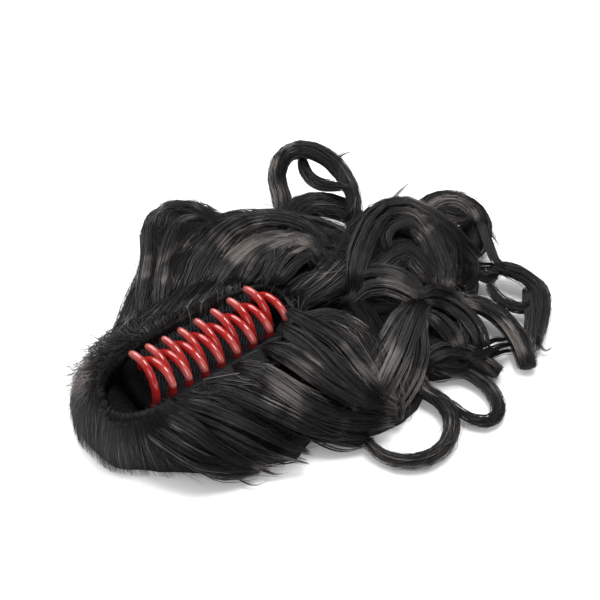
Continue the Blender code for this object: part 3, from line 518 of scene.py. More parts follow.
# The places that each sweep passes, in metres in the layout
Pass = namedtuple("Pass", "sweep along across up")
PASSES = [
    Pass("far_first", -0.026, 0.038, 0.033),
    Pass("far_first", -0.008, 0.059, 0.032),
    Pass("far_first", 0.016, 0.090, 0.025),
    Pass("far_first", 0.0295, 0.1115, 0.0205),
    Pass("far_first", 0.0440, 0.1235, 0.0185),
    Pass("far_first", 0.0570, 0.1205, 0.0205),
    Pass("far_first", 0.065, 0.108, 0.022),
    Pass("far_first", 0.064, 0.093, 0.024),
    Pass("far_second", -0.012, 0.036, 0.035),
    Pass("far_second", 0.005, 0.058, 0.036),
    Pass("far_second", 0.027, 0.084, 0.029),
    Pass("far_second", 0.047, 0.103, 0.023),
    Pass("far_second", 0.060, 0.101, 0.023),
    Pass("far_second", 0.065, 0.087, 0.026),
    Pass("far_third", 0.004, 0.036, 0.035),
    Pass("far_third", 0.031, 0.057, 0.036),
    Pass("far_third", 0.060, 0.071, 0.035),
    Pass("far_third", 0.085, 0.071, 0.032),
    Pass("far_third", 0.101, 0.058, 0.031),
    Pass("far_third", 0.105, 0.036, 0.034),
    Pass("far_third", 0.098, 0.014, 0.040),
    Pass("far_fourth", 0.022, 0.031, 0.037),
    Pass("far_fourth", 0.048, 0.045, 0.037),
    Pass("far_fourth", 0.072, 0.050, 0.035),
    Pass("far_fourth", 0.086, 0.040, 0.036),
    Pass("far_fourth", 0.094, 0.026, 0.036),
    Pass("far_fourth", 0.088, 0.005, 0.040),
    Pass("fan_first", 0.040, 0.028, 0.036),
    Pass("fan_first", 0.060, 0.040, 0.036),
    Pass("fan_first", 0.076, 0.042, 0.036),
    Pass("fan_first", 0.090, 0.036, 0.038),
    Pass("fan_second", 0.058, 0.016, 0.036),
    Pass("fan_second", 0.078, 0.024, 0.036),
    Pass("fan_second", 0.096, 0.022, 0.036),
    Pass("fan_second", 0.101, 0.006, 0.041),
    Pass("top_fall", 0.093, 0.078, 0.026),
    Pass("top_fall", 0.099, 0.062, 0.030),
    Pass("top_fall", 0.107, 0.046, 0.033),
    Pass("top_fall", 0.114, 0.030, 0.034),
    Pass("top_fall", 0.110, 0.010, 0.041),
    Pass("arch", 0.089, -0.020, 0.034),
    Pass("arch", 0.101, -0.006, 0.040),
    Pass("arch", 0.122, 0.010, 0.043),
    Pass("arch", 0.144, 0.020, 0.044),
    Pass("arch", 0.160, 0.014, 0.042),
    Pass("arch", 0.169, -0.004, 0.036),
    Pass("arch", 0.174, -0.020, 0.028),
    Pass("arch", 0.178, -0.034, 0.020),
    Pass("arch_inside", 0.127, -0.008, 0.037),
    Pass("arch_inside", 0.131, 0.003, 0.040),
    Pass("arch_inside", 0.142, 0.007, 0.041),
    Pass("arch_inside", 0.153, 0.001, 0.040),
    Pass("arch_inside", 0.156, -0.014, 0.036),
    Pass("arch_curtain", 0.150, 0.004, 0.040),
    Pass("arch_curtain", 0.154, -0.008, 0.039),
    Pass("arch_curtain", 0.152, -0.020, 0.035),
    Pass("arch_curtain", 0.147, -0.032, 0.030),
    Pass("arch_curtain", 0.138, -0.042, 0.028),
    Pass("gleam", 0.096, -0.010, 0.039),
    Pass("gleam", 0.110, -0.012, 0.038),
    Pass("gleam", 0.121, -0.022, 0.036),
    Pass("gleam", 0.124, -0.034, 0.034),
    Pass("gleam", 0.120, -0.046, 0.033),
    Pass("hook", 0.119, -0.043, 0.034),
    Pass("hook", 0.132, -0.043, 0.031),
    Pass("hook", 0.1420, -0.0500, 0.0245),
    Pass("hook", 0.1425, -0.0580, 0.0200),
    Pass("hook", 0.1392, -0.0694, 0.0165),
    Pass("hook", 0.1364, -0.0787, 0.0120),
    Pass("long_wave", 0.050, -0.006, 0.036),
    Pass("long_wave", 0.055, -0.024, 0.036),
    Pass("long_wave", 0.061, -0.042, 0.033),
    Pass("long_wave", 0.062, -0.060, 0.028),
    Pass("long_wave", 0.064, -0.077, 0.022),
    Pass("long_wave", 0.070, -0.088, 0.017),
    Pass("under_wave", 0.040, -0.012, 0.034),
    Pass("under_wave", 0.044, -0.036, 0.036),
    Pass("under_wave", 0.047, -0.057, 0.032),
    Pass("under_wave", 0.052, -0.073, 0.025),
    Pass("under_wave", 0.060, -0.085, 0.017),
    Pass("crossing", 0.1200, -0.0450, 0.0325),
    Pass("crossing", 0.1070, -0.0470, 0.0335),
    Pass("crossing", 0.0940, -0.0520, 0.0315),
    Pass("crossing", 0.0815, -0.0575, 0.0285),
    Pass("crossing", 0.0690, -0.0625, 0.0260),
    Pass("crossing", 0.0550, -0.0690, 0.0230),
    Pass("crossing", 0.0400, -0.0790, 0.0180),
    Pass("second_crossing", 0.128, -0.045, 0.031),
    Pass("second_crossing", 0.110, -0.057, 0.029),
    Pass("second_crossing", 0.101, -0.070, 0.023),
    Pass("second_crossing", 0.086, -0.081, 0.015),
    Pass("second_crossing", 0.066, -0.090, 0.013),
    Pass("middle_crossing", 0.1200, -0.0460, 0.0328),
    Pass("middle_crossing", 0.1080, -0.0530, 0.0332),
    Pass("middle_crossing", 0.0970, -0.0600, 0.0318),
    Pass("middle_crossing", 0.0860, -0.0670, 0.0290),
    Pass("middle_crossing", 0.0730, -0.0740, 0.0262),
    Pass("middle_crossing", 0.0570, -0.0815, 0.0190),
    Pass("deep_fall", 0.088, -0.018, 0.033),
    Pass("deep_fall", 0.090, -0.034, 0.029),
    Pass("deep_fall", 0.084, -0.055, 0.029),
    Pass("deep_fall", 0.078, -0.073, 0.025),
    Pass("near_first", -0.052, -0.0185, 0.0295),
    Pass("near_first", -0.044, -0.038, 0.031),
    Pass("near_first", -0.034, -0.055, 0.021),
    Pass("near_first", -0.023, -0.066, 0.012),
    Pass("near_first", -0.012, -0.073, 0.005),
    Pass("near_second", -0.040, -0.0185, 0.0295),
    Pass("near_second", -0.029, -0.042, 0.033),
    Pass("near_second", -0.017, -0.060, 0.027),
    Pass("near_second", -0.004, -0.075, 0.016),
    Pass("near_second", 0.008, -0.084, 0.008),
    Pass("near_third", -0.022, -0.0185, 0.0295),
    Pass("near_third", -0.010, -0.037, 0.032),
    Pass("near_third", 0.001, -0.054, 0.027),
    Pass("near_third", 0.013, -0.069, 0.018),
    Pass("near_third", 0.028, -0.083, 0.012),
    Pass("near_third", 0.048, -0.092, 0.008),
    Pass("near_fourth", 0.002, -0.0175, 0.0290),
    Pass("near_fourth", 0.009, -0.036, 0.036),
    Pass("near_fourth", 0.015, -0.054, 0.033),
    Pass("near_fourth", 0.023, -0.070, 0.026),
    Pass("near_fourth", 0.038, -0.083, 0.018),
    Pass("near_fourth", 0.062, -0.092, 0.010),
    Pass("near_fifth", 0.026, -0.0150, 0.0285),
    Pass("near_fifth", 0.030, -0.032, 0.036),
    Pass("near_fifth", 0.035, -0.047, 0.034),
    Pass("near_fifth", 0.041, -0.063, 0.028),
    Pass("near_fifth", 0.051, -0.078, 0.021),
    Pass("near_fifth", 0.067, -0.090, 0.015),
    Pass("end_cover", 0.1200, -0.0460, 0.0330),
    Pass("end_cover", 0.1330, -0.0500, 0.0270),
    Pass("end_cover", 0.1400, -0.0620, 0.0220),
    Pass("end_cover", 0.1400, -0.0760, 0.0170),
    Pass("end_cover", 0.1340, -0.0870, 0.0130),
    Pass("end_cover_inside", 0.1120, -0.0520, 0.0320),
    Pass("end_cover_inside", 0.1210, -0.0580, 0.0270),
    Pass("end_cover_inside", 0.1240, -0.0700, 0.0210),
    Pass("end_cover_inside", 0.1220, -0.0810, 0.0180),
    Pass("low_end", 0.0980, -0.0740, 0.0180),
    Pass("low_end", 0.1120, -0.0740, 0.0190),
    Pass("low_end", 0.1240, -0.0800, 0.0160),
    Pass("low_end", 0.1310, -0.0900, 0.0120),
    Pass("low_end", 0.1350, -0.1020, 0.0070),
    Pass("right_side", 0.1760, -0.0180, 0.0240),
    Pass("right_side", 0.1730, -0.0310, 0.0190),
    Pass("right_side", 0.1640, -0.0400, 0.0190),
    Pass("right_side", 0.1500, -0.0460, 0.0250),
    Pass("back_crossing", 0.1700, 0.0220, 0.0320),
    Pass("back_crossing", 0.1770, 0.0140, 0.0270),
    Pass("back_crossing", 0.1840, 0.0020, 0.0240),
    Pass("back_crossing", 0.1930, -0.0030, 0.0220),
    Pass("back_crossing", 0.1990, 0.0020, 0.0220),
    Pass("side_join", 0.1985, -0.0060, 0.0205),
    Pass("side_join", 0.1982, -0.0133, 0.0220),
    Pass("side_join", 0.1946, -0.0215, 0.0200),
    Pass("side_join", 0.1916, -0.0289, 0.0180),
    Pass("side_join", 0.1885, -0.0375, 0.0168),
    Pass("side_join", 0.1895, -0.0450, 0.0160),
    Pass("side_fill", 0.1680, -0.0280, 0.0180),
    Pass("side_fill", 0.1782, -0.0339, 0.0170),
    Pass("side_fill", 0.1859, -0.0385, 0.0160),
    Pass("back_fill", 0.1800, 0.0060, 0.0240),
    Pass("back_fill", 0.1805, -0.0079, 0.0220),
    Pass("back_fill", 0.1785, -0.0189, 0.0200),
    Pass("back_fill", 0.1745, -0.0297, 0.0190),
    Pass("ribbon_inside", 0.1930, -0.0620, 0.0120),
    Pass("ribbon_inside", 0.1890, -0.0715, 0.0105),
    Pass("ribbon_inside", 0.1805, -0.0830, 0.0095),
    Pass("ribbon_inside", 0.1715, -0.0915, 0.0080),
    Pass("ribbon_inside", 0.1640, -0.0975, 0.0060),
    Pass("low_join", 0.1180, -0.0835, 0.0140),
    Pass("low_join", 0.1270, -0.0850, 0.0140),
    Pass("low_join", 0.1370, -0.0868, 0.0135),
    Pass("low_join", 0.1463, -0.0872, 0.0120),
    Pass("low_join", 0.1560, -0.0885, 0.0080),
    Pass("under_gleam", 0.0830, -0.0210, 0.0310),
    Pass("under_gleam", 0.0970, -0.0185, 0.0335),
    Pass("under_gleam", 0.1090, -0.0240, 0.0340),
    Pass("under_gleam", 0.1155, -0.0335, 0.0335),
    Pass("under_gleam", 0.1190, -0.0430, 0.0325),
    Pass("hollow_first", 0.0780, -0.0215, 0.0270),
    Pass("hollow_first", 0.0880, -0.0280, 0.0275),
    Pass("hollow_first", 0.0970, -0.0350, 0.0285),
    Pass("hollow_first", 0.1060, -0.0430, 0.0305),
    Pass("hollow_second", 0.0680, -0.0320, 0.0280),
    Pass("hollow_second", 0.0760, -0.0400, 0.0275),
    Pass("hollow_second", 0.0840, -0.0470, 0.0285),
    Pass("hollow_second", 0.0920, -0.0530, 0.0295),
    Pass("near_nose", -0.062, -0.0185, 0.0290),
    Pass("near_nose", -0.058, -0.038, 0.027),
    Pass("near_nose", -0.049, -0.056, 0.020),
    Pass("near_nose", -0.038, -0.062, 0.013),
    Pass("near_nose", -0.026, -0.067, 0.006),
]

# The parts of the pile that the locks are gathered in, with the rings of their strands
LockGroup = namedtuple("LockGroup", "name rings locks")
LOCK_GROUPS = [
    LockGroup("hair_left", 13, ("left_outer", "left_middle", "left_inner")),
    LockGroup("hair_end", 13, ("end_fan", "right_inner", "top_filling", "right_lump")),
    LockGroup("hair_falls", 13, ("cross", "wave", "fall_first", "fall_second", "fall_third",
                                 "fall_fourth")),
    LockGroup("hair_rings", 20, ("top_ring", "back_ring", "side_ring")),
    LockGroup("hair_low_rings", 20, ("small_ring", "big_ring")),
    LockGroup("hair_ribbons", 14, ("top_inside", "far_ribbon", "end_ribbon", "low_ribbon")),
]

# Colours
HAIR_DARK = (0.0010, 0.0009, 0.0010)
# The lightest hair colour is a painted grey-brown sheen
HAIR_SHEEN = (0.155, 0.137, 0.126)
HAIR_COOL = (0.0090, 0.0083, 0.0084)
DEPTH_DARK = (0.002, 0.002, 0.002)
DEPTH_LIGHT = (0.010, 0.009, 0.009)
CLIP_RED = (0.28, 0.005, 0.004)
CLIP_PALE = (0.50, 0.22, 0.20)
NET_DARK = (0.003, 0.003, 0.0035)
NET_THREAD = (0.052, 0.058, 0.068)
NET_SHADED = (0.007, 0.007, 0.008)
# The near-black colour of the painted shade in the hollow at the net's front
NET_HOLLOW_SHADE = (0.0012, 0.0012, 0.0013)
SEAM_GREY = (0.045, 0.040, 0.038)
FLOOR_WHITE = (0.90, 0.90, 0.91)
FLOOR_SHADE = tuple(value * 0.985 for value in FLOOR_WHITE)

# The patterns in the materials: clouds, streaks and waves are finer as their number is larger
HAIR_PATCH_SCALE = 34           # patches of lighter and darker hair, about 30 mm across
HAIR_PATCH_NOISE = (0.36, 0.64)
HAIR_PATCH_LIGHT = (0.40, 1.35)
HAIR_ROOT_LIGHT = 0.25
HAIR_ROOT_REACH = 0.22
HAIR_STREAKS = 240
DEPTH_STREAKS = 500
TONE_GLOSS = -0.26              # how much less rough the lightest strands are
NET_WAVES = 210
SEAM_WAVES = 330
CLIP_CLOUDS = 160
CLIP_PALER = (0.07, 1.07)

# The room and the lamps, in metres and watts
FLOOR_REACH = 4.0
LIGHT_AIM = (0, 0, 0.02)
Light = namedtuple("Light", "name place size power")
LIGHTS = [
    Light("back_softbox", (-0.10, 0.75, 0.85), 1.0, 12.0),
    Light("top_softbox", (0.25, -0.05, 1.15), 0.5, 9.0),
    Light("front_softbox", (-0.7, -0.7, 0.7), 0.7, 3.5),
]
ROOM_LIGHT = 0.80
ROOM_GLOSS = 0.07    # the room reflects less in the hair than it lights the floor


def base_turn():
    return (Matrix.Rotation(math.radians(BASE_YAW), 4, 'Z')
            @ Matrix.Rotation(math.radians(BASE_PITCH), 4, 'Y')
            @ Matrix.Rotation(math.radians(BASE_ROLL), 4, 'X'))


def layout_origin():
    """The layout's origin in the part's frame, read from the hinge pin."""
    low, high = [Vector(corner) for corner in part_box("hinge_pin")]
    pin = Vector(BASE_PLACE) + base_turn() @ Vector((0, 0, PIN_HEIGHT))
    return (low + high) / 2 - pin


ORIGIN = layout_origin()
BASE = Matrix.Translation(ORIGIN + Vector(BASE_PLACE)) @ base_turn()


# Curves

def smooth_route(points, count):
    """Pass a smooth curve through the points and read it at count even places."""
    points = np.asarray(points, float)
    ends = np.vstack([points[0] * 2 - points[1], points, points[-1] * 2 - points[-2]])
    t = np.linspace(0, 1, 16, endpoint=False)[:, None]
    fine = []
    for before, start, end, after in zip(ends, ends[1:], ends[2:], ends[3:]):
        fine.append(0.5 * (2 * start + (end - before) * t
                           + (2 * before - 5 * start + 4 * end - after) * t ** 2
                           + (3 * start - before - 3 * end + after) * t ** 3))
    fine = np.vstack(fine + [points[-1:]])
    reached = np.concatenate([[0], np.cumsum(np.linalg.norm(np.diff(fine, axis=0), axis=1))])
    wanted = np.linspace(0, reached[-1], count)
    return np.stack([np.interp(wanted, reached, fine[:, axis]) for axis in range(3)], axis=1)


def lock_route(name, count=LOCK_POINTS):
    """A lock's middle line: its bends, then its ring if it has one."""
    size = np.array((PILE_LENGTH, PILE_WIDTH, PILE_HEIGHT))
    points = [np.array((bend.along, bend.across, bend.up)) * size
              for bend in BENDS if bend.lock == name]
    for ring in RINGS:
        if ring.lock != name:
            continue
        steps = max(3, round(ring.turn / RING_STEP))
        for index in range(steps + 1):
            bearing = math.radians(ring.start - ring.turn * index / steps)
            rise = ring.rise * math.cos(bearing - math.radians(ring.rise_at))
            points.append(np.array((ring.along + ring.reach_along * math.cos(bearing),
                                    ring.across + ring.reach_across * math.sin(bearing),
                                    ring.up + rise)) * size)
    return smooth_route(points, count) + np.array(ORIGIN)


def lock_swell(share, tip):
    root = ROOT_SHARE + (1 - ROOT_SHARE) * np.minimum(1, share / ROOT_LENGTH)
    taper = np.maximum(0, (share - TAPER_START) / (1 - TAPER_START))
    return root * (1 - (1 - tip) * taper ** 1.5)


def directions(route):
    """The sideways and upward directions along a route or a stack of routes."""
    ahead = np.gradient(route, axis=-2)
    ahead /= np.linalg.norm(ahead, axis=-1, keepdims=True) + 1e-9
    side = np.cross(ahead, np.array((0.0, 0.0, 1.0)))
    side /= np.linalg.norm(side, axis=-1, keepdims=True) + 1e-9
    return side, np.cross(side, ahead)


def rim_point(angle, shrink=0.0):
    half_long = RIM_LENGTH / 2 - shrink
    half_wide = RIM_WIDTH / 2 - shrink
    power = 2 / RIM_SQUARENESS
    cosine = math.cos(angle)
    sine = math.sin(angle)
    along = half_long * math.copysign(abs(cosine) ** power, cosine)
    across = half_wide * math.copysign(abs(sine) ** power, sine)
    askew = RIM_SKEW * across * max(0.0, -along / half_long)
    return Vector((along + askew - RIM_BACK, across, 0))


def rim_place(angle, inward, up):
    """A place inside the band's rim and so far over its floor, in the part's frame."""
    return BASE @ (rim_point(angle, inward) + Vector((0, 0, up)))


def crown_reach(bearing):
    rows = CROWN + [Crown(CROWN[0].bearing + 360, CROWN[0].reach)]
    return np.interp(bearing % 360, [row.bearing for row in rows],
                     [row.reach for row in rows]) * PILE_WIDTH


# Pieces

def place_object(name, data):
    thing = bpy.data.objects.new(name, data)
    bpy.context.scene.collection.objects.link(thing)
    return thing


def finished_mesh(bm, name):
    mesh = bpy.data.meshes.new(name)
    bm.to_mesh(mesh)
    bm.free()
    return mesh


def new_object(name, mesh, material, slot, *nodes):
    thing = place_object(name, mesh)
    mesh.materials.append(material)
    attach(thing, "root")
    for node in nodes:
        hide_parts(node)
    return thing


def strand_blank(rings):
    """A straight three-sided strand of unit radius and length, closed at both ends."""
    bm = bmesh.new()
    bmesh.ops.create_cone(bm, cap_ends=True, segments=3, radius1=1, radius2=1, depth=1)
    long_edges = [edge for edge in bm.edges
                  if abs(edge.verts[0].co.z - edge.verts[1].co.z) > 0.5]
    bmesh.ops.subdivide_edges(bm, edges=long_edges, cuts=rings - 2, use_grid_fill=False)
    bmesh.ops.recalc_face_normals(bm, faces=bm.faces)
    bm.verts.index_update()
    places = np.array([vert.co[:] for vert in bm.verts])
    ring = np.rint((places[:, 2] + 0.5) * (rings - 1)).astype(int)
    corners = np.concatenate([[vert.index for vert in face.verts] for face in bm.faces])
    sizes = np.array([len(face.verts) for face in bm.faces])
    bm.free()
    return places[:, :2], ring, corners, sizes


def bend_strands(name, routes, material, thickness=1.0, tint=None, tip=0.25, root=0.0):
    """Bend one straight strand along each route, and make them one piece."""
    count, rings, _ = routes.shape
    section, ring, corners, sizes = strand_blank(rings)
    side, rise = directions(routes)
    share = np.linspace(0, 1, rings)
    taper = ROOT_THIN + (1 - ROOT_THIN) * np.minimum(1, share / ROOT_RISE)
    taper *= 1 - (1 - tip) * share ** 3
    radius = HAIR_RADIUS * thickness * dice.uniform(*RADIUS_SPREAD, (count, 1)) * taper
    roll = dice.uniform(0, 2 * math.pi, (count, 1))
    cosine = np.cos(roll)
    sine = np.sin(roll)
    x = section[:, 0] * cosine - section[:, 1] * sine
    y = section[:, 0] * sine + section[:, 1] * cosine
    spots = (routes[:, ring] + side[:, ring] * (x * radius[:, ring])[..., None]
             + rise[:, ring] * (y * radius[:, ring])[..., None])
    spots[..., 2] = np.maximum(spots[..., 2], STRAND_FLOOR)
    mesh = bpy.data.meshes.new(name)
    verts = len(section)
    mesh.vertices.add(count * verts)
    mesh.vertices.foreach_set("co", spots.reshape(-1))
    all_corners = (corners[None, :] + np.arange(count)[:, None] * verts).reshape(-1)
    mesh.loops.add(len(all_corners))
    mesh.loops.foreach_set("vertex_index", all_corners.astype(np.int32))
    all_sizes = np.tile(sizes, count)
    mesh.polygons.add(len(all_sizes))
    starts = np.concatenate([[0], np.cumsum(all_sizes)[:-1]])
    mesh.polygons.foreach_set("loop_start", starts.astype(np.int32))
    mesh.update(calc_edges=True)
    mesh.validate()
    mesh.shade_smooth()
    tints = dice.uniform(0, 1, count) if tint is None else tint
    tone = mesh.attributes.new("tone", 'FLOAT', 'POINT')
    tone.data.foreach_set("value", np.repeat(tints, verts).astype(np.float32))
    along = mesh.attributes.new("along", 'FLOAT', 'POINT')
    reached = root + (1 - root) * share[ring]
    along.data.foreach_set("value", np.tile(reached, count).astype(np.float32))
    return new_object(name, mesh, material, "hair", "hair")


def trim_routes(routes, starts, ends, rings):
    """Read each route between its own start and end shares."""
    count, fine, _ = routes.shape
    places = (starts[:, None] + (ends - starts)[:, None] * np.linspace(0, 1, rings)) * (fine - 1)
    low = np.clip(places.astype(int), 0, fine - 2)
    part = (places - low)[..., None]
    rows = np.arange(count)[:, None]
    return routes[rows, low] * (1 - part) + routes[rows, low + 1] * part


def bundle_routes(route, half_wide, half_deep, tip, bundles, strands, rings=13):
    """Strands in slowly turning bundles round a lock's middle line, and the tone of each."""
    fine = len(route)
    share = np.linspace(0, 1, fine)
    side, rise = directions(route)
    swell = lock_swell(share, tip)
    count = bundles * strands
    owner = np.repeat(np.arange(bundles), strands)
    turn = np.linspace(0, 2 * math.pi, bundles, endpoint=False)
    turn += dice.normal(0, BUNDLE_TURN, bundles)
    twist = dice.normal(0, BUNDLE_TWIST, bundles)
    depth = dice.uniform(*BUNDLE_DEPTH, bundles)
    tone = dice.uniform(0, 1, bundles)
    around = (turn[owner][:, None] + twist[owner][:, None] * share
              + dice.normal(0, BUNDLE_SPREAD / bundles, (count, 1)))
    wave = STRAND_WAVE * np.sin(dice.uniform(0, 6.3, (count, 1))
                                + share * dice.uniform(*STRAND_WAVE_TURNS, (count, 1)))
    reach = depth[owner][:, None] + dice.normal(0, STRAND_DEPTH, (count, 1)) + wave
    stray = dice.uniform(0, 1, (count, 1)) < STRAY_SHARE
    reach = reach + stray * np.abs(dice.normal(0, STRAY_REACH, (count, 1))) * share ** 2
    u = reach * np.cos(around)
    v = reach * np.sin(around)
    routes = (route + side * (u * half_wide * swell)[..., None]
              + rise * (v * half_deep * swell)[..., None])
    starts = np.abs(dice.normal(0, START_SPREAD, count))
    ends = 1 - np.abs(dice.normal(0, END_SPREAD, count))
    tones = tone[owner] * BUNDLE_TONE + dice.uniform(0, STRAND_TONE, count)
    return trim_routes(routes, starts, ends, rings), np.clip(tones, 0, 1)


# Materials

def new_material(name):
    """A material, its node tree and its shader."""
    material = bpy.data.materials.new(name)
    material.use_nodes = True
    tree = material.node_tree
    return material, tree, tree.nodes["Principled BSDF"]


def set_inputs(tree, node, inputs):
    """Give each named input of a node its link or its plain value."""
    for name, value in inputs.items():
        if isinstance(value, bpy.types.NodeSocket):
            tree.links.new(value, node.inputs[name])
        else:
            node.inputs[name].default_value = value


def add_node(tree, kind, inputs=None, **settings):
    node = tree.nodes.new(kind)
    for name, value in settings.items():
        setattr(node, name, value)
    set_inputs(tree, node, inputs or {})
    return node


def add_math(tree, operation, *values):
    node = add_node(tree, "ShaderNodeMath", operation=operation)
    set_inputs(tree, node, dict(enumerate(values)))
    return node.outputs[0]


def add_range(tree, value, low, high, from_low=0.0, from_high=1.0):
    """Move a value from one range to another."""
    node = add_node(tree, "ShaderNodeMapRange",
                    {"Value": value, "From Min": from_low, "From Max": from_high,
                     "To Min": low, "To Max": high})
    return node.outputs["Result"]


def add_ramp(tree, value, *stops):
    """Colour a value by stops, each a position and a colour."""
    node = add_node(tree, "ShaderNodeValToRGB", {"Fac": value})
    elements = node.color_ramp.elements
    for index, (position, colour) in ((0, stops[0]), (1, stops[-1])):
        elements[index].position = position
        elements[index].color = (*colour, 1)
    for position, colour in stops[1:-1]:
        elements.new(position).color = (*colour, 1)
    return node.outputs["Color"]


def add_bump(tree, height, distance, strength=1.0):
    node = add_node(tree, "ShaderNodeBump",
                    {"Height": height, "Distance": distance, "Strength": strength})
    return node.outputs["Normal"]


def object_place(tree):
    return add_node(tree, "ShaderNodeTexCoord").outputs["Object"]


def own_value(tree, name):
    """A value that the piece's own points carry."""
    return add_node(tree, "ShaderNodeAttribute", attribute_name=name).outputs["Fac"]


def streak_group():
    """Long fine streaks: noise as fine as it is told."""
    group = bpy.data.node_groups.new("fine_streaks", 'ShaderNodeTree')
    group.interface.new_socket("Vector", in_out='INPUT', socket_type='NodeSocketVector')
    group.interface.new_socket("Fineness", in_out='INPUT', socket_type='NodeSocketFloat')
    group.interface.new_socket("Streak", in_out='OUTPUT', socket_type='NodeSocketFloat')
    entry = add_node(group, "NodeGroupInput").outputs
    noise = add_node(group, "ShaderNodeTexNoise", {"Vector": entry["Vector"],
                                                   "Scale": entry["Fineness"], "Detail": 3})
    add_node(group, "NodeGroupOutput", {"Streak": noise.outputs["Fac"]})
    return group


def add_streaks(tree, streaks, place, fineness):
    node = add_node(tree, "ShaderNodeGroup", {"Vector": place, "Fineness": fineness},
                    node_tree=streaks)
    return node.outputs["Streak"]


def hair_material(name, streaks, roughness=0.50, gloss=0.40):
    """Near-black hair, lighter and darker from strand to strand and place to place, partly at
    random and partly by painted light and shade in the tone; its lightest colour is a painted
    sheen.

    Lighter strands are glossier, and every strand is darkest at its root.
    """
    material, tree, shader = new_material(name)
    place = object_place(tree)
    cloud = add_node(tree, "ShaderNodeTexNoise", {"Vector": place, "Scale": HAIR_PATCH_SCALE,
                                                  "Detail": 2})
    patch = add_range(tree, cloud.outputs["Fac"], *HAIR_PATCH_LIGHT, *HAIR_PATCH_NOISE)
    rooted = add_range(tree, own_value(tree, "along"), HAIR_ROOT_LIGHT, 1.0, 0.0,
                       HAIR_ROOT_REACH)
    shaded = add_math(tree, 'MULTIPLY', own_value(tree, "tone"), patch)
    lit = add_math(tree, 'MULTIPLY', shaded, rooted)
    # The top stop of the ramp paints a grey-brown sheen on the lightest strands
    colour = add_ramp(tree, lit, (0.22, HAIR_DARK), (0.60, HAIR_COOL), (0.95, HAIR_SHEEN))
    streak = add_streaks(tree, streaks, place, HAIR_STREAKS)
    spread = add_range(tree, streak, roughness - 0.07, roughness + 0.10)
    dull = add_math(tree, 'MULTIPLY_ADD', lit, TONE_GLOSS, spread)
    set_inputs(tree, shader, {"Base Color": colour, "Roughness": dull, "IOR": 1.55,
                              "Specular IOR Level": gloss})
    return material


def underlay_material(streaks):
    """The shade deep in the hair."""
    material, tree, shader = new_material("hair_depth")
    streak = add_streaks(tree, streaks, object_place(tree), DEPTH_STREAKS)
    colour = add_ramp(tree, streak, (0, DEPTH_DARK), (1, DEPTH_LIGHT))
    set_inputs(tree, shader, {"Base Color": colour, "Roughness": 0.75,
                              "Specular IOR Level": 0.2,
                              "Normal": add_bump(tree, streak, 0.0006)})
    return material


def clip_material():
    """Red moulded plastic, paler towards the teeth's tips and faintly mottled."""
    material, tree, shader = new_material("red_plastic")
    noise = add_node(tree, "ShaderNodeTexNoise",
                     {"Vector": object_place(tree), "Scale": CLIP_CLOUDS, "Detail": 2})
    cloud = noise.outputs["Fac"]
    paler = add_range(tree, own_value(tree, "tipward"), *CLIP_PALER)
    mottle = add_math(tree, 'MULTIPLY', paler, cloud)
    blend = add_node(tree, "ShaderNodeMix",
                     {"Factor": mottle, "A": (*CLIP_RED, 1), "B": (*CLIP_PALE, 1)},
                     data_type='RGBA')
    set_inputs(tree, shader, {"Base Color": blend.outputs["Result"], "Roughness": 0.13,
                              "IOR": 1.49, "Subsurface Weight": 0.06,
                              "Subsurface Scale": 0.003,
                              "Subsurface Radius": (1.0, 0.15, 0.1),
                              "Coat Weight": 1.0, "Coat Roughness": 0.06,
                              "Normal": add_bump(tree, cloud, 0.0004, 0.12)})
    return material


def net_material(name, thread, painted_front_shade=False):
    """A fine diamond net of thread on dark cloth, with painted shade darkening it towards its
    front end, in the hollow, if wanted.
    """
    material, tree, shader = new_material(name)
    place = object_place(tree)
    threads = []
    for turn in (45, -45):
        mapping = add_node(tree, "ShaderNodeMapping",
                           {"Vector": place, "Rotation": (0.3, 0.2, math.radians(turn))})
        wave = add_node(tree, "ShaderNodeTexWave",
                        {"Vector": mapping.outputs["Vector"], "Scale": NET_WAVES,
                         "Distortion": 1.5, "Detail Scale": 2})
        threads.append(wave.outputs["Fac"])
    weave = add_math(tree, 'MAXIMUM', *threads)
    colour = add_ramp(tree, weave, (0.88, NET_DARK), (0.99, thread))
    # Painted shade: the net is painted dark towards its front end, in the hollow
    if painted_front_shade:
        shade_blend = add_node(tree, "ShaderNodeMix",
                       {"Factor": own_value(tree, "lit"), "A": (*NET_HOLLOW_SHADE, 1), "B": colour},
                       data_type='RGBA')
        colour = shade_blend.outputs["Result"]
    set_inputs(tree, shader, {"Base Color": colour, "Roughness": 0.85,
                              "Specular IOR Level": 0.2,
                              "Normal": add_bump(tree, weave, 0.0005)})
    return material


def seam_material():
    """The sewn line: slanting stitches of grey-brown thread."""
    material, tree, shader = new_material("seam_thread")
    wave = add_node(tree, "ShaderNodeTexWave",
                    {"Vector": object_place(tree), "Scale": SEAM_WAVES, "Distortion": 3})
    stitch = wave.outputs["Fac"]
    set_inputs(tree, shader,
               {"Base Color": add_ramp(tree, stitch, (0, NET_DARK), (1, SEAM_GREY)),
                "Roughness": 0.8, "Normal": add_bump(tree, stitch, 0.0006)})
    return material


def floor_material():
    material, tree, shader = new_material("pale_floor")
    noise = add_node(tree, "ShaderNodeTexNoise", {"Vector": object_place(tree), "Scale": 3})
    colour = add_ramp(tree, noise.outputs["Fac"], (0, FLOOR_SHADE), (1, FLOOR_WHITE))
    set_inputs(tree, shader, {"Base Color": colour, "Roughness": 0.9,
                              "Specular IOR Level": 0.1})
    return material


# The hair

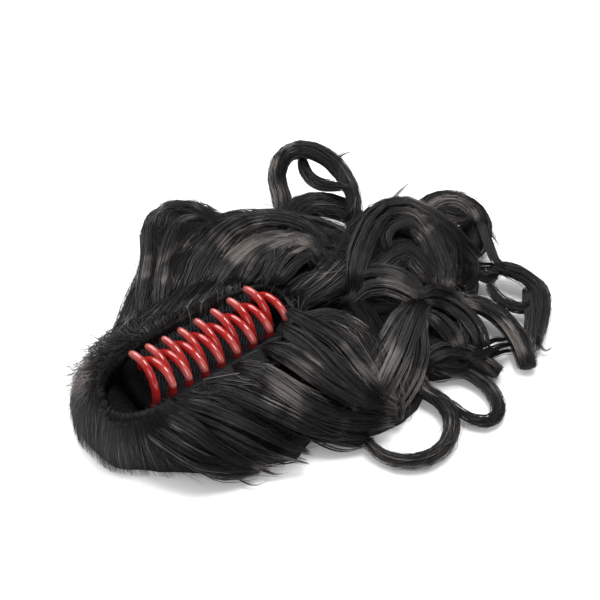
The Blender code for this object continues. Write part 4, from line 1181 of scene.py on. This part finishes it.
def make_underlay(material):
    """The dark form under the strands: the solid's own shape, drawn in."""
    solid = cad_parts["hair"]
    bm = bmesh.new()
    bm.from_mesh(solid.data)
    bmesh.ops.remove_doubles(bm, verts=bm.verts, dist=0.00002)
    bm.normal_update()
    for vert in bm.verts:
        on_floor = vert.co.z < UNDERLAY_FLOOR
        vert.co -= vert.normal * UNDERLAY_DEPTH
        vert.co.z = 0.0 if on_floor else max(vert.co.z, UNDERLAY_FLOOR)
    mesh = finished_mesh(bm, "hair_depth")
    mesh.shade_smooth()
    return new_object("hair_depth", mesh, material, "hair", "hair")


def hair_surface():
    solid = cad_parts["hair"]
    bm = bmesh.new()
    bm.from_mesh(solid.data)
    tree = BVHTree.FromBMesh(bm)
    bm.free()
    return tree


def drape(routes, tree, lift):
    """Lay routes on the hair's surface, lift metres above it."""
    flat = routes.reshape(-1, 3)
    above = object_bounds()[1][2] + 0.01
    for index, spot in enumerate(flat):
        hit = tree.ray_cast(Vector((spot[0], spot[1], above)), Vector((0, 0, -1)))[0]
        flat[index, 2] = min(spot[2], COMBED_FLOOR) if hit is None else hit.z
    draped = flat.reshape(routes.shape)
    draped[..., 2] += lift
    return draped


def smooth_heights(routes, passes=2):
    for _ in range(passes):
        inner = routes[:, 1:-1, 2]
        routes[:, 1:-1, 2] = np.maximum(
            inner, (routes[:, :-2, 2] + inner + routes[:, 2:, 2]) / 3)
    return routes


def make_locks(material):
    """Every lock as bundles of strands, gathered into a piece for each part of the pile."""
    for group in LOCK_GROUPS:
        routes = []
        tones = []
        for lock in [lock for lock in LOCKS if lock.name in group.locks]:
            bent, tone = bundle_routes(lock_route(lock.name), lock.wide * LOCK_WIDTH / 2,
                                       lock.deep * LOCK_DEPTH / 2, lock.tip, lock.bundles,
                                       lock.strands, group.rings)
            routes.append(bent)
            tones.append(tone)
        bend_strands(group.name, np.concatenate(routes), material, tint=np.concatenate(tones))


def make_sweeps(material, shaded):
    """The sweeps that lie on top of the locks, as bundles of strands; each sweep's light value
    paints light or shade into its strands' tone, and the darkest, painted as hollow shade, get the
    duller shaded material.
    """
    third = len(SWEEPS) // 3
    parts = {"hair_sweeps_far": SWEEPS[:third], "hair_sweeps_end": SWEEPS[third:2 * third],
             "hair_sweeps_near": SWEEPS[2 * third:]}
    parts = {name: [sweep for sweep in members if sweep.light > SHADED_LIGHT]
             for name, members in parts.items()}
    # The darkest sweeps carry painted shade in the hollows and gaps
    parts["hair_hollows"] = [sweep for sweep in SWEEPS if sweep.light <= SHADED_LIGHT]
    for name, members in parts.items():
        routes = []
        tones = []
        for sweep in members:
            bent, tone = bundle_routes(sweep_route(sweep.name), sweep.wide / 2, sweep.deep / 2,
                                       sweep.tip, sweep.bundles, sweep.strands, SWEEP_RINGS)
            routes.append(bent)
            # Painted light and shade: the sweep's light value lifts or lowers its strands' tone
            tone = tone * SWEEP_BUNDLE_TONE + sweep.light * SWEEP_PAINTED_LIGHT - SWEEP_DARKER
            tones.append(np.clip(tone, 0, 1))
        finish = shaded if name == "hair_hollows" else material
        bend_strands(name, np.concatenate(routes), finish, tint=np.concatenate(tones))


def sweep_route(name, count=LOCK_POINTS):
    return smooth_route([(stop.along, stop.across, stop.up) for stop in PASSES
                         if stop.sweep == name], count) + np.array(ORIGIN)


def flow_lines():
    """The middle lines of all locks and sweeps in a search tree, with their directions."""
    lines = [lock_route(lock.name, FLOW_LOCK_POINTS) for lock in LOCKS]
    lines += [sweep_route(sweep.name, FLOW_SWEEP_POINTS) for sweep in SWEEPS]
    spots = np.concatenate(lines)
    ahead = np.concatenate([np.gradient(line, axis=0) for line in lines])
    ahead /= np.linalg.norm(ahead, axis=1, keepdims=True)
    lookup = KDTree(len(spots))
    for index, spot in enumerate(spots):
        lookup.insert(spot, index)
    lookup.balance()
    return lookup, [Vector(row) for row in ahead]


def surface_starts(count):
    """Places spread evenly over the solid hair's upper faces, outside the band."""
    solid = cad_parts["hair"]
    solid.data.calc_loop_triangles()
    corners = np.array([[solid.data.vertices[index].co[:] for index in face.vertices]
                        for face in solid.data.loop_triangles])
    normals = np.cross(corners[:, 1] - corners[:, 0], corners[:, 2] - corners[:, 0])
    sizes = np.linalg.norm(normals, axis=1)
    upward = normals[:, 2] > COVER_SLOPE * sizes
    high = corners[:, :, 2].max(axis=1) > COVER_FLOOR
    chance = np.where(upward & high, sizes, 0)
    picked = dice.choice(len(corners), count, p=chance / chance.sum())
    a = np.sqrt(dice.uniform(0, 1, (count, 1)))
    b = dice.uniform(0, 1, (count, 1))
    face = corners[picked]
    spots = face[:, 0] * (1 - a) + face[:, 1] * a * (1 - b) + face[:, 2] * a * b
    inside = BASE.inverted()
    keep = []
    for spot in spots:
        local = inside @ Vector(spot)
        share = ((abs(local.x + RIM_BACK) / (RIM_LENGTH / 2)) ** RIM_SQUARENESS
                 + (abs(local.y) / (RIM_WIDTH / 2)) ** RIM_SQUARENESS)
        keep.append(share > COVER_CLEAR and local.x > COVER_START)
    return spots[keep]


def make_cover(material, tree):
    """Short strands all over the solid's skin, each laid the way the nearest lock runs."""
    lookup, ahead = flow_lines()
    for cover in COVERS:
        routes = []
        for start in surface_starts(cover.count):
            spot = Vector(start)
            step = cover.step * dice.uniform(0.65, 1.35)
            lift = cover.lift * dice.uniform(0.25, 1.75)
            veer = dice.normal(0, cover.veer)
            sway = dice.normal(0, cover.veer)
            route = []
            for index in range(cover.rings):
                hit, normal, _, _ = tree.find_nearest(spot)
                share = index / (cover.rings - 1)
                route.append((hit + normal * lift * (0.3 + share * 0.9))[:])
                run = Vector()
                for _, near, distance in lookup.find_n(hit, COVER_NEIGHBOURS):
                    run += ahead[near] / (distance + COVER_NEAR) ** 2
                run.normalize()
                if abs(run.dot(normal)) > COVER_STEEP:
                    break
                run -= normal * run.dot(normal)
                run.normalize()
                turn = veer + sway * math.sin(share * 6)
                spot = hit + (run + normal.cross(run) * turn).normalized() * step
            if len(route) == cover.rings:
                routes.append(route)
        bend_strands(cover.name, np.array(routes), material, thickness=cover.thickness,
                     tint=dice.uniform(cover.dark, cover.light, len(routes)), tip=0.15)


def rim_roots(starts):
    """The stretch of each strand inside the band: up its wall and over its rim."""
    inside = BASE.inverted()
    rows = []
    for start in starts:
        local = inside @ Vector(start)
        angle = math.atan2(local.y / (RIM_WIDTH / 2), (local.x + RIM_BACK) / (RIM_LENGTH / 2))
        near = 1.0 if local.y < 0 else 0.0
        lift = dice.uniform(-0.001, 0.001)
        row = []
        for stop in RIM_STOPS:
            up = stop.up + stop.near_up * near + lift
            row.append(rim_place(angle, stop.inward + stop.near_inward * near, up)[:])
        rows.append(row)
    return np.array(rows)


def make_combed(material, tree):
    """Strands combed from the rim between neighbouring locks, so that no gap is bald."""
    count = COMBED_STRANDS
    share = np.linspace(0, 1, COMBED_REACH)
    routes = []
    tones = []
    for first, second in zip(COMBED_ORDER, COMBED_ORDER[1:]):
        start = lock_route(first, COMBED_POINTS)[:COMBED_REACH]
        end = lock_route(second, COMBED_POINTS)[:COMBED_REACH]
        weight = dice.uniform(-0.1, 1.1, count)[:, None, None]
        between = start * (1 - weight) + end * weight
        side, _ = directions(between)
        phase = dice.uniform(0, 6.28, (count, 1))
        sway = dice.normal(0, COMBED_SWAY, (count, 1)) * np.sin(phase + share * 5)
        between = between + side * sway[..., None]
        finish = dice.uniform(*COMBED_LENGTH, count)
        routes.append(trim_routes(between, np.zeros(count), finish, COMBED_RINGS))
        clump = np.sin(weight[:, 0, 0] * COMBED_CLUMPS) * 0.25 + 0.5
        tones.append(np.clip(clump + dice.normal(0, 0.2, count), 0, 1))
    routes = np.concatenate(routes)
    lift = dice.uniform(0, COMBED_LIFT, (len(routes), 1))
    routes = smooth_heights(drape(routes, tree, lift))
    routes = np.concatenate([rim_roots(routes[:, 0]), routes[:, 1:]], axis=1)
    bend_strands("hair_combed", routes, material, tint=np.concatenate(tones))


def make_crown(material):
    """Short hair from inside the rim, brushed out over the round edge and down to the floor."""
    crown_middle = BASE @ Vector((-RIM_BACK, 0, 0))
    crown_middle.z = 0
    routes = []
    tones = []
    for _ in range(CROWN_STRANDS):
        angle = 2 * math.pi * dice.uniform(*CROWN_ARC)
        far_side = max(0.0, math.sin(angle))
        near_side = max(0.0, -math.sin(angle))
        length = dice.uniform(*CROWN_LENGTH)
        inward = dice.uniform(*CROWN_INWARD)
        drift = CROWN_DRIFT * dice.normal()
        drift += CROWN_NEAR_DRIFT * near_side ** 2 * dice.uniform(0.5, 1.1)
        drift -= CROWN_FAR_DRIFT * far_side ** 2
        bulge = dice.uniform(*CROWN_BULGE)
        if dice.uniform() < CROWN_STRAY_SHARE:
            bulge += abs(dice.normal(0, CROWN_STRAY_BULGE))
        route = [rim_place(angle, depth + inward, up)[:] for depth, up in CROWN_ROOTS]
        for step in range(CROWN_STEPS):
            share = step / (CROWN_STEPS - 1) * length
            rim = rim_place(angle + drift * share, inward * (1 - share), BAND_DEPTH)
            outward = Vector((rim.x, rim.y, 0)) - crown_middle
            bearing = math.degrees(math.atan2(outward.y, outward.x))
            foot = crown_middle + outward.normalized() * (crown_reach(bearing) + CROWN_FRINGE)
            turn = share * math.pi / 2
            point = rim.lerp(foot, math.sin(turn) * bulge)
            point.z = rim.z * math.cos(turn) * bulge + 0.0006 + 0.0016 * (1 - share)
            route.append(point[:])
        routes.append(route)
        tones.append(CROWN_TONE + CROWN_CLUMP_TONE * math.sin(angle * CROWN_CLUMPS)
                     + dice.normal(0, CROWN_STRAND_TONE))
    bend_strands("hair_front", np.array(routes), material, thickness=0.9,
                 tint=np.clip(np.array(tones), 0, 1), root=0.25)


def make_frizz(material):
    """Thin curly hairs that stand off the brushed front at its far side."""
    share = np.linspace(0, 1, FRIZZ_RINGS)
    routes = []
    for _ in range(FRIZZ_COUNT):
        angle = math.pi * dice.uniform(*FRIZZ_ARC)
        root = rim_place(angle, dice.uniform(*FRIZZ_INWARD), BAND_DEPTH)
        root.z *= dice.uniform(0.92, 1.08)
        away = (BASE.to_3x3() @ Vector((math.cos(angle), math.sin(angle) * 0.8, 0))).normalized()
        away = (away + Vector(dice.normal(0, 0.30, 3))).normalized()
        length = dice.uniform(*FRIZZ_LENGTH)
        curl = dice.uniform(*FRIZZ_CURL)
        turns = dice.uniform(4, 11)
        phase = dice.uniform(0, 6.28)
        line = np.array(root) + np.outer(share * length, np.array(away))
        line[:, 2] -= share ** 2 * dice.uniform(0.000, 0.010)
        line[:, 0] += curl * np.sin(phase + turns * share)
        line[:, 1] += curl * np.cos(phase + turns * share * 0.8)
        line[:, 2] += curl * np.sin(turns * share)
        line[:, 2] = np.maximum(line[:, 2], FRIZZ_FLOOR)
        line[:, 0] = np.maximum(line[:, 0], cad_box[0][0] - FRIZZ_REACH)
        routes.append(line)
    bend_strands("hair_frizz", np.array(routes), material, thickness=0.6,
                 tint=dice.uniform(0.6, 1.0, FRIZZ_COUNT), tip=0.2, root=0.25)


def make_rim_fibres(material):
    """Short fibres round the open front of the band, over its rim."""
    share = np.linspace(0, 1, RIM_FIBRE_RINGS)
    routes = []
    for _ in range(RIM_FIBRES):
        angle = math.pi * dice.uniform(*RIM_FIBRE_ARC)
        start = rim_place(angle, dice.uniform(0.0015, 0.0045),
                          BAND_DEPTH - dice.uniform(0.002, 0.007))
        middle = rim_place(angle, dice.uniform(-0.0008, 0.0006),
                           BAND_DEPTH + dice.uniform(0.0012, 0.0036))
        finish = rim_place(angle + dice.normal(0, 0.03), -dice.uniform(0.0035, 0.0070),
                           BAND_DEPTH + dice.uniform(-0.001, 0.0030))
        line = np.outer((1 - share) ** 2, start) + np.outer(share ** 2, finish)
        routes.append(line + np.outer(2 * share * (1 - share), middle))
    bend_strands("hair_rim", np.array(routes), material, thickness=0.75,
                 tint=dice.uniform(0.30, 0.68, RIM_FIBRES), tip=0.2, root=0.10)


def make_net(material):
    """The net over both spines: only the teeth come through it."""
    bm = bmesh.new()
    bmesh.ops.create_grid(bm, x_segments=NET_COLUMNS, y_segments=len(NET_ROWS) - 1, size=1.0)
    for vert in bm.verts:
        along = NET_FROM + (NET_TO - NET_FROM) * (vert.co.x + 1) / 2
        row = NET_ROWS[round((1 - vert.co.y) / 2 * (len(NET_ROWS) - 1))]
        reach = abs(along + RIM_BACK) / (RIM_LENGTH / 2)
        narrow = (1 - reach ** RIM_SQUARENESS) ** (1 / RIM_SQUARENESS)
        across = row.across * (narrow if abs(row.across) > SPINE_ROWS else 1)
        fade = min(1, (along - NET_FROM) / NET_FADE, (NET_TO - along) / NET_FADE)
        fade = 1 - (1 - fade) ** 2
        height = NET_END_HEIGHT + (1 - NET_END_HEIGHT) * fade
        vert.co = BASE @ Vector((along, across, row.up * height))
    bmesh.ops.recalc_face_normals(bm, faces=bm.faces)
    bmesh.ops.solidify(bm, geom=bm.faces[:], thickness=NET_WALL)
    bmesh.ops.recalc_face_normals(bm, faces=bm.faces)
    inside = BASE.inverted()
    # Painted shade: the lit value dims the net's front end, which lies in the hollow
    lit = bm.verts.layers.float.new("lit")
    for vert in bm.verts:
        along = (inside @ vert.co).x
        vert[lit] = min(1, max(0, (along - NET_FROM - NET_LIT_FROM) / NET_LIT_FADE))
    mesh = finished_mesh(bm, "net_cover")
    mesh.shade_smooth()
    return new_object("net_cover", mesh, material, "net")


def make_wisps(material):
    """Thin tapering wisps that leave the locks."""
    count = WISP_STRANDS
    spread = WISP_SPREAD * (1 - np.linspace(0, 1, WISP_RINGS) * 0.8)
    routes = []
    for name in dict.fromkeys(wisp.name for wisp in WISPS):
        points = [(wisp.along, wisp.across, wisp.up) for wisp in WISPS if wisp.name == name]
        line = smooth_route(points, WISP_RINGS) + np.array(ORIGIN)
        side, rise = directions(line)
        u = dice.normal(0, 1, (count, 1)) * spread
        v = dice.normal(0, 0.6, (count, 1)) * spread
        bent = line + side * u[..., None] + rise * v[..., None]
        ends = dice.uniform(0.6, 1.0, count)
        routes.append(trim_routes(bent, np.zeros(count), ends, WISP_RINGS))
    bend_strands("hair_wisps", np.concatenate(routes), material, tip=0.1)


# The clip

def tooth_route(place, side):
    lower = 1 - CLIP_BOW * (1 - (2 * place - 1) ** 2)
    points = []
    for row in TOOTH:
        up = (row.up - TOOTH[-1].up) * lower + TOOTH[-1].up
        points.append((0.0, CLIP_SPAN * (0.5 - row.across) * side, CLIP_TOP * up))
    return smooth_route(points, TOOTH_STATIONS)


def add_tooth(bm, along, place, side):
    """Extrude a ring of points along the tooth's middle line, with a rounded tip."""
    route = [Vector(point) + Vector((along, 0, 0)) for point in tooth_route(place, side)]
    ring = bmesh.ops.create_circle(bm, segments=TOOTH_SIDES, radius=1.0)["verts"]
    shape = [vert.co.copy() for vert in ring]
    tipward = bm.verts.layers.float.get("tipward")
    edges = list({edge for vert in ring for edge in vert.link_edges})
    first = ring
    stations = [(route[0].lerp(route[1], share), width) for share, width in TOOTH_ROUNDING]
    stations += [(point, 1.0) for point in route[1:]]
    for index, (point, width) in enumerate(stations):
        if index:
            grown = bmesh.ops.extrude_edge_only(bm, edges=edges)["geom"]
            ring = [item for item in grown if isinstance(item, bmesh.types.BMVert)]
            edges = [item for item in grown if isinstance(item, bmesh.types.BMEdge)
                     and item.is_boundary and all(vert in ring for vert in item.verts)]
            ring = sorted(ring, key=lambda vert: order_of(vert, previous))
        after = stations[min(index + 1, len(stations) - 1)][0]
        before = stations[max(index - 1, 0)][0]
        ahead = (after - before).normalized()
        across = Vector((1, 0, 0))
        rise = across.cross(ahead).normalized()
        share = index / (len(stations) - 1)
        thick = TOOTH_THICK / 2 * (1 + TOOTH_SWELL * min(1, share * TOOTH_SWELL_RATE)) * width
        for vert, spot in zip(ring, shape):
            vert.co = point + across * spot.x * thick + rise * spot.y * thick * TOOTH_HEIGHT
            vert[tipward] = max(0.0, 1 - share * TOOTH_PALE_RATE)
        previous = [vert.co.copy() for vert in ring]
    bmesh.ops.contextual_create(bm, geom=first)
    bmesh.ops.contextual_create(bm, geom=ring)


def order_of(vert, previous):
    """An extruded ring starts on the ring before it, so it keeps that ring's order."""
    distances = [(vert.co - spot).length for spot in previous]
    return distances.index(min(distances))


def round_edges(bm, edges, rounding, segments):
    bmesh.ops.bevel(bm, geom=edges, offset=rounding, offset_type='OFFSET', segments=segments,
                    profile=0.5, affect='EDGES', material=-1)


def add_block(bm, low, high, rounding):
    """A block between two corners, with rounded edges."""
    middle = (Vector(low) + Vector(high)) / 2
    size = [abs(b - a) for a, b in zip(low, high)]
    matrix = Matrix.Translation(middle) @ Matrix.Diagonal((*size, 1))
    block = bmesh.ops.create_cube(bm, size=1.0, matrix=matrix)
    edges = list({edge for vert in block["verts"] for edge in vert.link_edges})
    round_edges(bm, edges, rounding, 3)


def make_jaw(name, node, side, material):
    """The teeth as swept forms on a spine, with the hinge knuckle and the grip under it."""
    bm = bmesh.new()
    tipward = bm.verts.layers.float.new("tipward")
    shift = -JAW_STAGGER * side
    for index in range(TOOTH_COUNT):
        along = shift + (index - (TOOTH_COUNT - 1) / 2) * TOOTH_PITCH
        add_tooth(bm, along, index / (TOOTH_COUNT - 1), side)
    _, across, height = tooth_route(0, side)[-1]
    half = (TOOTH_COUNT - 1) * TOOTH_PITCH / 2 + TOOTH_THICK / 2 + SPINE_OVERHANG
    add_block(bm, (shift - half, across - SPINE_THICK / 2, height - SPINE_HEIGHT / 2),
              (shift + half, across + SPINE_THICK / 2, height + SPINE_HEIGHT / 2),
              SPINE_ROUNDING)
    add_block(bm, (-GRIP_LENGTH / 2, across - GRIP_THICK / 2, BAND_FLOOR),
              (GRIP_LENGTH / 2, across + GRIP_THICK / 2, height), GRIP_ROUNDING)
    low = min(0, side * KNUCKLE_LENGTH)
    reach = math.copysign(PIN_THICK, across)
    add_block(bm, (low, min(reach, across), PIN_HEIGHT - GRIP_THICK / 2),
              (low + KNUCKLE_LENGTH, max(reach, across), PIN_HEIGHT + GRIP_THICK / 2),
              KNUCKLE_ROUNDING)
    turn = Matrix.Translation((low + KNUCKLE_LENGTH / 2, 0, PIN_HEIGHT)) @ Matrix.Rotation(
        math.pi / 2, 4, 'Y')
    knuckle = bmesh.ops.create_cone(bm, cap_ends=True, segments=28, radius1=KNUCKLE_REACH,
                                    radius2=KNUCKLE_REACH, depth=KNUCKLE_LENGTH, matrix=turn)
    rims = list({edge for vert in knuckle["verts"] for edge in vert.link_edges
                 if abs(edge.verts[0].co.x - edge.verts[1].co.x) < 0.001})
    round_edges(bm, rims, KNUCKLE_ROUNDING, 2)
    bmesh.ops.recalc_face_normals(bm, faces=bm.faces)
    bm.transform(BASE)
    mesh = finished_mesh(bm, name)
    mesh.shade_smooth()
    mesh.set_sharp_from_angle(angle=math.radians(60))
    return new_object(name, mesh, material, "clip_plastic", node)


# The stage

def make_floor():
    bm = bmesh.new()
    bmesh.ops.create_grid(bm, x_segments=1, y_segments=1, size=FLOOR_REACH)
    floor = place_object("floor", finished_mesh(bm, "floor"))
    floor.data.materials.append(floor_material())
    floor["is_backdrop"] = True


def make_lights():
    for light in LIGHTS:
        lamp = bpy.data.lights.new(light.name, 'AREA')
        lamp.shape = 'DISK'
        lamp.size = light.size
        lamp.energy = light.power
        thing = place_object(light.name, lamp)
        thing.location = light.place
        facing = Vector(light.place) - Vector(LIGHT_AIM)
        thing.rotation_euler = facing.to_track_quat('Z', 'Y').to_euler()


def make_camera():
    azimuth = math.radians(VIEW_AZIMUTH)
    elevation = math.radians(VIEW_ELEVATION)
    right = Vector((math.cos(azimuth), math.sin(azimuth), 0))
    back = Vector((math.sin(azimuth) * math.cos(elevation),
                   -math.cos(azimuth) * math.cos(elevation), math.sin(elevation)))
    up = back.cross(right)
    camera = bpy.data.cameras.new("photo_view")
    camera.lens = LENS
    camera.sensor_width = SENSOR
    camera.sensor_fit = 'HORIZONTAL'
    camera.clip_start = 0.05
    thing = place_object("photo_view", camera)
    place = ORIGIN + Vector(VIEW_TARGET) + back * VIEW_DISTANCE
    turn = Matrix((right, up, back)).transposed().to_4x4()
    thing.matrix_world = Matrix.Translation(place) @ turn
    bpy.context.scene.camera = thing


def make_room():
    """White light from all sides, most of which the gloss of the hair and the clip doesn't see."""
    world = bpy.data.worlds.new("studio")
    bpy.context.scene.world = world
    world.use_nodes = True
    tree = world.node_tree
    ray = add_node(tree, "ShaderNodeLightPath")
    strength = add_range(tree, ray.outputs["Is Glossy Ray"], ROOM_LIGHT, ROOM_GLOSS)
    set_inputs(tree, tree.nodes["Background"], {"Color": (1, 1, 1, 1), "Strength": strength})
    bpy.context.scene.view_settings.view_transform = 'Standard'


def main():
    make_camera()
    make_floor()
    make_lights()
    make_room()
    streaks = streak_group()
    strand = hair_material("hair_strand", streaks)
    make_underlay(underlay_material(streaks))
    tree = hair_surface()
    make_locks(strand)
    # A duller copy of the hair material for the sweeps painted as hollow shade
    make_sweeps(strand, hair_material("hair_shaded", streaks, 0.60, 0.15))
    make_cover(strand, tree)
    make_combed(strand, tree)
    make_crown(strand)
    make_frizz(strand)
    make_wisps(strand)
    make_rim_fibres(strand)
    make_net(net_material("hair_net", NET_THREAD, painted_front_shade=True))
    red = clip_material()
    make_jaw("jaw_near", "claw_jaw_near", 1, red)
    make_jaw("jaw_far", "claw_jaw_far", -1, red)
    finishes = {"hinge_pin": red, "base_band": net_material("band_net", NET_SHADED),
                "weft_seam": seam_material()}
    for node, material in finishes.items():
        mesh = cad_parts[node].data
        mesh.materials.clear()
        mesh.materials.append(material)


main()
